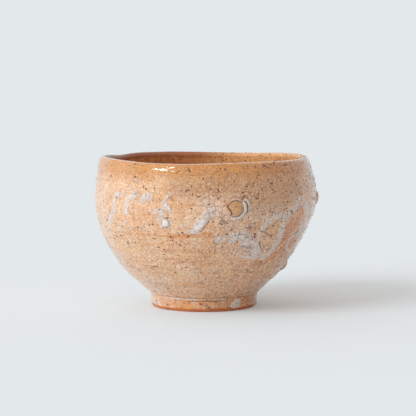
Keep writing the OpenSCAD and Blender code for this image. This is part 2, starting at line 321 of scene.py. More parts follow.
def plate_skin(top: Array, under: Array, out: Array, marks: Marks) -> Skin:
    """Skins a plate that has its border in common with its underside.

    Args:
        top: places by row and column, counted anticlockwise from outside.
        under: places of the underside in the same order; its border isn't used.
        out: the way out at each place.
        marks: values by row and column.

    Returns:
        The closed skin.
    """
    rows, width = top.shape[:2]
    upper = np.arange(rows * width).reshape(rows, width)
    inner = np.zeros((rows, width), bool)
    inner[1:-1, 1:-1] = True
    lower = upper.copy()
    lower[inner] = rows * width + np.arange(inner.sum())
    first, rest = slice(None, -1), slice(1, None)
    corner = [(first, first), (first, rest), (rest, rest), (rest, first)]
    faces = np.stack([upper[c] for c in corner], -1).reshape(-1, 4).tolist()
    faces += np.stack([lower[c] for c in corner[::-1]], -1).reshape(-1, 4).tolist()
    return Skin(
        points=np.vstack((top.reshape(-1, 3), under[inner])),
        out=np.vstack((out.reshape(-1, 3), out[inner])),
        faces=faces,
        marks={n: np.concatenate((np.ravel(v), v[inner])) for n, v in marks.items()},
    )


# Form of the bowl


@dataclass(frozen=True)
class BowlForm:
    """The rule of the thrown wall, the same as the CAD model's."""

    foot_h: float  # height of the foot ring
    foot_r: float  # clay radius of the foot where it meets the wall
    foot_low_r: float = 28.3  # clay radius that the foot's side would have at the table
    foot_edge_r: float = 1.8  # rounding of the foot's lower edges
    height: float = 81.0  # mean height of the lip's crest
    belly_r: float = 60.0  # glazed radius at the belly
    belly_z: float = 58.0
    neck_h: float = 0.5  # height above the foot at which the wall's curve begins
    straightness: float = 1.31  # how straight the lower wall runs
    turning_z: float = 16.2  # height of the ledge that the trimming tool left
    turning_h: float = 0.5  # height of that ledge's face
    turning_step: float = 0.9  # depth of that ledge
    turning_under: float = 0.2  # how far under its face the ledge begins to soften
    turning_over: float = 0.4  # how far over its face that ends
    wall_t: float = 4.9  # clay thickness at the belly
    lip_t: float = 4.2  # glazed thickness of the round lip
    lip_lean: float = 18.5  # lean of the wall where the lip begins
    floor_z: float = 14.0  # height of the clay floor at the centre
    squareness: float = 0.75  # how square the inside runs from wall to floor
    pool_r: float = 15.0  # radius of the pool in the floor
    pool_step: float = 1.0  # depth of that pool
    pool_slope: float = 1.6  # width of the pool's edge for each millimetre of its depth
    outer_t: float = 0.6  # thickness of the glaze outside
    inner_t: float = 0.5  # thickness of the glaze inside
    edge_h: float = 0.8  # height above the foot in which the glaze reaches its full thickness
    roll_t: float = 0.35  # how far the glaze swells where it ends in a rolled edge above the foot
    roll_up: float = 0.9  # how far above the foot that swelling lies
    roll_h: float = 0.75  # half the height of that swelling
    lip_roll_t: float = 0.3  # how far the glaze swells under the lip, where the fingers let go
    lip_roll_low: float = 4.4  # how far under the crest that swelling lies
    lip_roll_h: float = 1.7  # half its height

    @classmethod
    def from_frame(cls) -> "BowlForm":
        """Takes the foot's size from the CAD model."""
        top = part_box("foot_ring")[1]
        return cls(foot_h=top.z / MM, foot_r=top.x / MM)

    @property
    def clay_r(self) -> float:
        """Clay radius outside at the belly."""
        return self.belly_r - self.outer_t

    @property
    def inner_r(self) -> float:
        """Clay radius inside at the belly."""
        return self.clay_r - self.wall_t

    @property
    def lip_clay_r(self) -> float:
        """Radius of the lip's round clay edge."""
        return self.lip_t / 2 - self.outer_t

    def lip(self) -> tuple[float, float, float, float]:
        """Works out the lip's place.

        Returns:
            Radius of the arc from belly to lip, the lip's centre as radius and height, and the lean inside
            in radians.
        """
        lean = math.radians(self.lip_lean)
        start = self.height - self.outer_t - self.lip_clay_r * (1 - math.sin(lean))
        arc = (start - self.belly_z) / math.sin(lean)
        centre_r = self.clay_r - arc * (1 - math.cos(lean)) - self.lip_clay_r * math.cos(lean)
        centre_z = start - self.lip_clay_r * math.sin(lean)
        inner_lean = 2 * math.atan((self.inner_r - centre_r + self.lip_clay_r) / (centre_z - self.belly_z))
        return arc, centre_r, centre_z, inner_lean

    def lower(self, steps: int) -> Array:
        """Clay profile of the lower wall, which the trimming tool cut back under its ledge.

        Args:
            steps: how many stations it has.

        Returns:
            Rows of radius and height, from the foot up to the belly.
        """
        neck_turn = math.acos(self.foot_r / self.clay_r)
        drop = (self.belly_z - self.foot_h - self.neck_h) / math.sin(neck_turn) ** self.straightness
        turn = np.linspace(neck_turn, 0, steps)
        z = self.belly_z - drop * np.sin(turn) ** self.straightness
        ledge_low = self.turning_z - self.turning_h
        ledge_turn = math.asin(((self.belly_z - ledge_low) / drop) ** (1 / self.straightness))
        share = np.clip((neck_turn - turn) / (neck_turn - ledge_turn), 0, 1)
        soft = smooth(z, ledge_low - self.turning_under, self.turning_z + self.turning_over)
        return np.column_stack((self.clay_r * np.cos(turn) - self.turning_step * share * (1 - soft), z))

    def outside(self, steps: int = 400) -> Array:
        """Fine clay profile from the foot's top up to the lip's crest.

        Args:
            steps: stations in each of its three curves.

        Returns:
            Rows of radius and height.
        """
        arc, centre_r, centre_z, _ = self.lip()
        up = np.linspace(0, math.radians(self.lip_lean), steps)[1:]
        over = np.linspace(math.radians(self.lip_lean), math.pi / 2, steps)[1:]
        upper = bow(self.clay_r - arc, self.belly_z, arc, up)
        lip = bow(centre_r, centre_z, self.lip_clay_r, over)
        return np.vstack(([[self.foot_r, self.foot_h]], self.lower(steps), upper, lip))

    def inside(self, steps: int = 400) -> Array:
        """Fine clay profile from the lip's crest down to the floor's middle.

        Args:
            steps: stations in each of its four curves.

        Returns:
            Rows of radius and height.
        """
        _, centre_r, centre_z, lean = self.lip()
        arc = (centre_z + self.lip_clay_r * math.sin(lean) - self.belly_z) / math.sin(lean)
        over = np.linspace(math.pi / 2, math.pi - lean, steps)
        down = np.linspace(lean, 0, steps)[1:]
        low = np.linspace(0, math.acos(self.pool_r / self.inner_r), steps)[1:]
        lip = bow(centre_r, centre_z, self.lip_clay_r, over)
        upper = bow(self.inner_r - arc, self.belly_z, arc, down)
        fall = (self.belly_z - self.floor_z) * np.sin(low) ** self.squareness
        lower = np.column_stack((self.inner_r * np.cos(low), self.belly_z - fall))
        r, z = np.linspace(self.pool_r, POLE_R, steps)[1:], lower[-1, 1]
        dip = self.pool_step * smooth(self.pool_r - r, 0, self.pool_slope * self.pool_step)
        pool = np.column_stack((r, z - dip + (self.floor_z - z) * (1 - r / self.pool_r)))
        return np.vstack((lip, upper, lower, pool))

    def foot_side(self, z: Array) -> Array:
        """Works out the foot's side, with its rounded lower edge.

        Args:
            z: heights.

        Returns:
            Its clay radius at each height.
        """
        side = self.foot_low_r + (self.foot_r - self.foot_low_r) * np.maximum(z, 0) / self.foot_h
        under = np.clip(self.foot_edge_r - z, 0, self.foot_edge_r)
        return side - self.foot_edge_r + np.sqrt(self.foot_edge_r**2 - under**2)

    def outer_coat_t(self, z: Array) -> Array:
        """Works out the glaze outside: a rolled edge at the foot, an even coat and a swelling at the lip.

        Args:
            z: heights.

        Returns:
            Its thickness at each height.
        """
        edge = np.clip((z - self.foot_h) / self.edge_h, 0, 1)
        roll = self.roll_t * bell(z, self.foot_h + self.roll_up, self.roll_h)
        swelling = self.lip_roll_t * bell(z, self.height - self.lip_roll_low, self.lip_roll_h)
        return self.outer_t * np.sqrt(1 - (1 - edge) ** 2) + roll + swelling


class GlazedWall:
    """The turned outside of the glazed wall, on which slip and pellets lie."""

    def __init__(self, form: BowlForm) -> None:
        """Glazes the form's outside.

        Args:
            form: the rule of the wall.
        """
        clay = form.outside()
        self.normal = outward(clay)
        self.line = clay + form.outer_coat_t(clay[:, 1])[:, None] * self.normal
        # Heights that rise at every row, so that they can be looked up
        self.z = np.maximum.accumulate(self.line[:, 1]) + np.arange(len(clay)) * 1e-7
        self.arc = np.concatenate(([0], np.cumsum(np.linalg.norm(np.diff(self.line, axis=0), axis=1))))

    def radius(self, z: Array) -> Array:
        """Glazed radius at a height."""
        return np.interp(z, self.z, self.line[:, 0])

    def run_up(self, z: Array) -> Array:
        """Length along the wall from the foot up to a height."""
        return np.interp(z, self.z, self.arc)

    def height(self, run: Array) -> Array:
        """Height at a length along the wall from the foot."""
        return np.interp(run, self.arc, self.z)

    def way_out(self, angle: Array, z: Array) -> Array:
        """Unit vector out of the wall at an angle and height."""
        aside, up = (np.interp(z, self.z, self.normal[:, i]) for i in (0, 1))
        return turned(aside, up, angle)

    def at(self, angle: Array, z: Array, lift: Array | float) -> Array:
        """Places on the wall, raised out of it by lift."""
        return turned(self.radius(z), z, angle) + np.asarray(lift)[..., None] * self.way_out(angle, z)

    def beside(self, place: Place, right: Array, up: Array) -> tuple[Array, Array]:
        """Angle and height at a distance round the wall and along it from a place."""
        z = self.height(self.run_up(np.asarray(place[1])) + up)
        return place[0] + np.degrees(right / self.radius(z)), z


@dataclass(frozen=True)
class Stroke:
    """One brush-like mark on the wall."""

    places: tuple[Place, ...]  # angle and height of the places that it runs through
    width: float
    strength: float  # how strongly it shows; past 1 the slip lies thick and white
    lift: float = 0.0  # its greatest thickness; 0 where it only colours the glaze

    # The plate is wider than the stroke, so that its border lies where the colour has nearly faded out.
    PLATE_SHARE = 1.25
    # How far the plate's border lies under the glaze
    BORDER_SINK = 0.02
    # Spacing of the plate's rows and columns, and of the points along the middle line
    ROW_GAP = 0.3
    COLUMN_GAP = 0.28
    TRACK_GAP = 0.4
    # Fewest rows and columns of a plate
    LEAST_ROWS = 16
    LEAST_COLUMNS = 9
    # Widths of the slow and the quick wavering of the border, and of the lumps on the plate
    SLOW_WAVER = 3.2
    QUICK_WAVER = 1.1
    LUMP = 1.6
    # Strength of the quick wavering beside the slow one, and share by which lumps change the thickness
    QUICK_SHARE = 0.6
    LUMP_SHARE = 0.4
    # How flat the plate is in its middle
    FLATNESS = 2.4

    def length(self, wall: GlazedWall) -> float:
        """Measures the stroke along its middle line.

        Args:
            wall: the wall.

        Returns:
            Its length on the wall.
        """
        track = threaded(self.places, 60)
        across = np.radians(np.diff(track[:, 0])) * wall.radius(track[1:, 1])
        return float(np.hypot(across, np.diff(wall.run_up(track[:, 1]))).sum())

    def skin(self, wall: GlazedWall, sink: float = 0.1, ragged: float = 0.3) -> Skin:
        """Lays the stroke on the wall.

        Args:
            wall: the wall.
            sink: depth of the underside in the glaze that it melts into.
            ragged: share of the width by which its border wavers.

        Returns:
            A closed plate, thickest in its middle.
        """
        full = self.PLATE_SHARE * self.width
        rows = max(self.LEAST_ROWS, int(self.length(wall) / self.ROW_GAP))
        across = np.linspace(-1, 1, max(self.LEAST_COLUMNS, int(full / self.COLUMN_GAP)))
        # Where the stroke starts decides its pattern.
        track, seed = threaded(self.places, rows), round(sum(self.places[0]))
        z = track[:, 1]
        right = np.gradient(np.radians(track[:, 0])) * wall.radius(z)
        along = np.column_stack((right, np.gradient(wall.run_up(z))))
        step = np.linalg.norm(along, axis=1)
        along /= step[:, None]
        run = np.cumsum(step) - step[0]
        end = np.minimum(run, run[-1] - run) / (0.5 * full)
        swell = np.sqrt(np.clip(1 - (1 - np.clip(end + 0.02, 0, 1)) ** 2, 0, 1))

        share = (across[None, :] + 1) / 2
        offset = np.zeros((rows, len(across)))
        for side, weight in ((-1, 1 - share), (1, share)):
            # Each border of each stroke reads its own line through the noise.
            wander = np.column_stack((run, np.full(rows, 20.0 * side), np.full(rows, 7.0 * seed)))
            quick = self.QUICK_SHARE * swirl(wander, self.QUICK_WAVER, seed + 3)
            waver = swirl(wander, self.SLOW_WAVER, seed) + quick
            offset += weight * (side * 0.5 * full * swell * (1 + ragged * waver))[:, None]
        angle = track[:, :1] - np.degrees(offset * along[:, 1:] / wall.radius(z)[:, None])
        height = wall.height(wall.run_up(z)[:, None] + offset * along[:, :1])

        hump = np.clip(1 - np.abs(across)[None, :] ** self.FLATNESS, 0, 1) * swell[:, None]
        lumps = 1 + self.LUMP_SHARE * swirl(wall.at(angle, height, 0.0), self.LUMP, seed + 5)
        lift = self.lift * hump * lumps - self.BORDER_SINK
        # The columns are turned round, because a plate counts its points anticlockwise from outside.
        angle, height, lift = (values[:, ::-1] for values in (angle, height, lift))
        return plate_skin(
            top=wall.at(angle, height, lift),
            under=wall.at(angle, height, -sink),
            out=wall.way_out(angle, height),
            marks=read_marks(wall, angle, height) | {"relief": np.ones_like(lift)},
        )

    def distance(self, wall: GlazedWall, angle: Array, z: Array, margin: float) -> Array:
        """Distance of places on the wall from the stroke's middle line.

        Args:
            wall: the wall.
            angle: angles of the places.
            z: their heights.
            margin: distance past which the answer doesn't matter.

        Returns:
            The distances, infinite past the margin.
        """
        track = threaded(self.places, max(8, int(self.length(wall) / self.TRACK_GAP)))
        middle, spot = track[:, 0].mean(), wall.run_up(track[:, 1])
        angle, z = np.broadcast_arrays(angle, z)
        turn = np.radians((angle - middle + 180) % 360 - 180)
        radius, run = wall.radius(z), wall.run_up(z)
        wide = np.radians(np.abs(track[:, 0] - middle).max())
        beside = np.abs(turn) < wide + margin / radius
        near = (run > spot.min() - margin) & (run < spot.max() + margin) & beside
        far = np.full(z.shape, np.inf)
        across = (turn[near][:, None] - np.radians(track[:, 0] - middle)) * radius[near][:, None]
        far[near] = np.hypot(across, run[near][:, None] - spot).min(axis=1)
        return far


# Hand throwing


def node_group(name: str, sizes: Mapping[str, float]) -> tuple[NodeTree, Mapping[str, NodeSocket]]:
    """Starts a Geometry Nodes tree that takes a geometry, sizes and a material, and gives a geometry.

    Args:
        name: the tree's name.
        sizes: its sizes by name; one that holds a whole number takes whole numbers.

    Returns:
        The tree and the sockets of what it takes, by name.
    """
    tree = bpy.data.node_groups.new(name, "GeometryNodeTree")
    tree.interface.new_socket("Geometry", in_out="OUTPUT", socket_type="NodeSocketGeometry")
    kinds = {size: "Int" if isinstance(value, int) else "Float" for size, value in sizes.items()}
    for socket, kind in ({"Geometry": "Geometry"} | kinds | {"Material": "Material"}).items():
        tree.interface.new_socket(socket, in_out="INPUT", socket_type=f"NodeSocket{kind}")
    return tree, tree.nodes.new("NodeGroupInput").outputs


@dataclass(frozen=True)
class HandThrowing:
    """What the hand does to the true turned form, as one Geometry Nodes tree."""

    sway: float = 0.95  # sideways sway of the axis
    sway_start: float = 10.0  # height at which it begins
    sway_span: float = 34.0  # height in which it goes over once
    tilt: float = 0.75  # how far the lip is higher in front than at the sides
    wave_2: float = 0.45  # rise and fall of the lip in two waves
    wave_4: float = 0.3  # the same in four waves
    dip: float = 0.6  # depth of the dip that a thumb left in the lip
    dip_angle: float = 149.0  # where that dip is
    dip_span: float = 9.0  # how wide it is
    ring_pitch: float = 5.5  # spacing of the rings that fingertips leave
    ring_depth: float = 0.24
    swell_size: float = 15.0  # width of the wall's slow swells
    swell_depth: float = 0.4
    pit_size: float = 2.4  # width of the small unevenness of the melted glaze
    pit_depth: float = 0.12
    seed: float = 3.0  # which hand

    def inputs(self, form: BowlForm) -> dict[str, float]:
        """Works out the tree's named inputs.

        Args:
            form: the rule of the wall.

        Returns:
            Each input by name, lengths in metres and angles in radians.
        """
        form_sizes = {"foot_height": form.foot_h, "height": form.height, "belly_radius": form.belly_r}
        unit = {"dip_angle": math.radians(1), "dip_span": math.radians(1), "seed": 1.0}
        sizes = asdict(self) | form_sizes
        return {name.replace("_", " ").title(): size * unit.get(name, MM) for name, size in sizes.items()}

    def tree(self, form: BowlForm) -> NodeTree:
        """Builds the tree, which reads the marks "out" and "relief".

        Args:
            form: the rule of the wall.

        Returns:
            The tree.
        """
        tree, given = node_group("hand_throwing", self.inputs(form))
        place = add(tree, "GeometryNodeInputPosition")
        x, y, z = add(tree, "ShaderNodeSeparateXYZ", {0: place}).outputs
        flat = add(tree, "ShaderNodeCombineXYZ", {0: x, 1: y})
        spoke = add(tree, "ShaderNodeVectorMath", {0: flat}, operation="NORMALIZE")
        radius = add(tree, "ShaderNodeVectorMath", {0: flat}, operation="LENGTH").outputs["Value"]

        # Each sum by name; a term is the name of another sum or input, or a number.
        sums: dict[str, object] = {name: given[name] for name in self.inputs(form)}
        sums |= {"x": x, "y": y, "z": z, "radius": radius}
        for name, operation, *terms in (
            ("turn", "ARCTAN2", "y", "x"),
            ("tall", "SUBTRACT", "Height", "Foot Height"),
            ("over foot", "SUBTRACT", "z", "Foot Height"),
            ("share up", "DIVIDE", "over foot", "tall"),
            ("rise", "MAXIMUM", "share up", 0.0),
            ("late rise", "POWER", "rise", 3.0),
            ("share out", "DIVIDE", "radius", "Belly Radius"),
            # The axis sways
            ("over start", "SUBTRACT", "z", "Sway Start"),
            ("from start", "MAXIMUM", "over start", 0.0),
            ("spans", "DIVIDE", "from start", "Sway Span"),
            ("phase", "MULTIPLY_ADD", "spans", math.pi, -math.pi),
            ("swing", "SINE", "phase"),
            ("lean", "MULTIPLY", "swing", "Sway"),
            ("aside", "MULTIPLY", "lean", "share out"),
            # The lip waves, tilts and dips
            ("turn 2", "MULTIPLY", "turn", 2.0),
            ("turn 4", "MULTIPLY", "turn", 4.0),
            ("cosine 2", "COSINE", "turn 2"),
            ("sine 4", "SINE", "turn 4"),
            ("sine 1", "SINE", "turn"),
            ("off dip", "SUBTRACT", "turn", "Dip Angle"),
            ("spans off", "DIVIDE", "off dip", "Dip Span"),
            ("squared", "MULTIPLY", "spans off", "spans off"),
            ("faded", "MULTIPLY", "squared", -1.0),
            ("dip shape", "EXPONENT", "faded"),
            ("low 1", "MULTIPLY", "sine 1", "Tilt"),
            ("low", "MULTIPLY_ADD", "dip shape", "Dip", "low 1"),
            ("high 2", "MULTIPLY", "cosine 2", "Wave 2"),
            ("high", "MULTIPLY_ADD", "sine 4", "Wave 4", "high 2"),
            ("wave", "SUBTRACT", "high", "low"),
            ("upward", "MULTIPLY", "wave", "late rise"),
            # Scales of the relief
            ("ring", "DIVIDE", "z", "Ring Pitch"),
            ("swell scale", "DIVIDE", 1.0, "Swell Size"),
            ("pit scale", "DIVIDE", 1.0, "Pit Size"),
            # The melt runs off the lip, so its unevenness dies out there.
            ("under lip", "SUBTRACT", 1.0, "late rise"),
            ("pit depth", "MULTIPLY", "Pit Depth", "under lip"),
        ):
            inputs = {i: sums[term] if isinstance(term, str) else term for i, term in enumerate(terms)}
            sums[name] = add(tree, "ShaderNodeMath", inputs, operation=operation)

        # Relief: rings that run round the wall, slow swells and the small unevenness of the melt
        ring_level = add(tree, "ShaderNodeCombineXYZ", {2: sums["ring"]})
        ring_place = add(tree, "ShaderNodeVectorMath", {0: spoke, 1: ring_level}, operation="ADD")
        relief: object = 0.0
        for at, scale, depth in (
            (ring_place, 1.0, "Ring Depth"),
            (place, sums["swell scale"], "Swell Depth"),
            (place, sums["pit scale"], "pit depth"),
        ):
            seeded = {"Vector": at, "W": given["Seed"], "Scale": scale, "Detail": 1.0}
            swell = add(tree, "ShaderNodeTexNoise", seeded, noise_dimensions="4D")
            # The noise runs from 0 to 1, so it is first spread to run from -1 to 1.
            centred = {0: swell.outputs[0], 1: 2.0, 2: -1.0}
            level = add(tree, "ShaderNodeMath", centred, operation="MULTIPLY_ADD")
            deeper = {0: level, 1: sums[depth], 2: relief}
            relief = add(tree, "ShaderNodeMath", deeper, operation="MULTIPLY_ADD")
        mask, out = (
            add(tree, "GeometryNodeInputNamedAttribute", {"Name": name}, data_type=kind).outputs[0]
            for name, kind in (("relief", "FLOAT"), ("out", "FLOAT_VECTOR"))
        )
        masked = add(tree, "ShaderNodeMath", {0: relief, 1: mask}, operation="MULTIPLY")
        push = add(tree, "ShaderNodeVectorMath", {0: out, "Scale": masked}, operation="SCALE")
        shift = add(tree, "ShaderNodeCombineXYZ", {0: sums["aside"], 2: sums["upward"]})
        moved = add(tree, "ShaderNodeVectorMath", {0: push, 1: shift}, operation="ADD")
        thrown = add(tree, "GeometryNodeSetPosition", {"Geometry": given["Geometry"], "Offset": moved})
        real = add(tree, "GeometryNodeRealizeInstances", {"Geometry": thrown})
        dressed = add(tree, "GeometryNodeSetMaterial", {"Geometry": real, "Material": given["Material"]})
        add(tree, "NodeGroupOutput", {"Geometry": dressed})
        return tree


class Workshop:
    """Turns skins into finished pieces: throws them by hand, dresses them and puts them on the bowl."""

    def __init__(self, form: BowlForm, hand: HandThrowing) -> None:
        """Sets up the throwing, from the rule of the wall and what the hand does to it."""
        self.sizes = hand.inputs(form)
        self.throwing = hand.tree(form)

    def through(self, mesh: Mesh, tree: NodeTree, sizes: Mapping[str, object], name: str) -> Object:
        """Puts a mesh through a Geometry Nodes tree.

        Args:
            mesh: the mesh.
            tree: the tree.
            sizes: value of each named input.
            name: name of the piece.

        Returns:
            An object with the result as a plain mesh and no modifier.
        """
        piece = bpy.data.objects.new(name, mesh)
        bpy.context.scene.collection.objects.link(piece)
        modifier = piece.modifiers.new(tree.name, "NODES")
        modifier.node_group = tree
        for item in tree.interface.items_tree:
            if item.in_out == "INPUT" and item.name in sizes:
                modifier[item.identifier] = sizes[item.name]
        depsgraph = bpy.context.evaluated_depsgraph_get()
        result = bpy.data.meshes.new_from_object(piece.evaluated_get(depsgraph), depsgraph=depsgraph)
        piece.modifiers.remove(modifier)
        piece.data = result
        result.name = name
        bpy.data.meshes.remove(mesh)
        return piece

    def throw(self, skin: Skin, name: str, material: Material) -> Object:
        """Throws a turned skin by hand and dresses it."""
        return self.through(skin.mesh(name), self.throwing, self.sizes | {"Material": material}, name)

    def place(self, piece: Object, slot: str, *nodes: str) -> None:
        """Puts a finished piece on the bowl and reports it.

        Args:
            piece: the piece.
            slot: not used.
            nodes: the CAD nodes that it stands for.
        """
        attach(piece, "root")
        if nodes:
            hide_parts(*nodes)
        stands_for = ", ".join(nodes) or "no node"
        log.info("%s: %d faces, stands for %s", piece.name, len(piece.data.polygons), stands_for)


# Finishes


def bare_material(name: str) -> tuple[Material, NodeTree, Node]:
    """Makes a material that holds only its shader.

    Args:
        name: the material's name.

    Returns:
        The material, its tree and the shader.
    """
    material = bpy.data.materials.new(name)
    material.use_nodes = True
    tree = material.node_tree
    tree.nodes.clear()
    shader = add(tree, "ShaderNodeBsdfPrincipled")
    add(tree, "ShaderNodeOutputMaterial", {"Surface": shader})
    return material, tree, shader


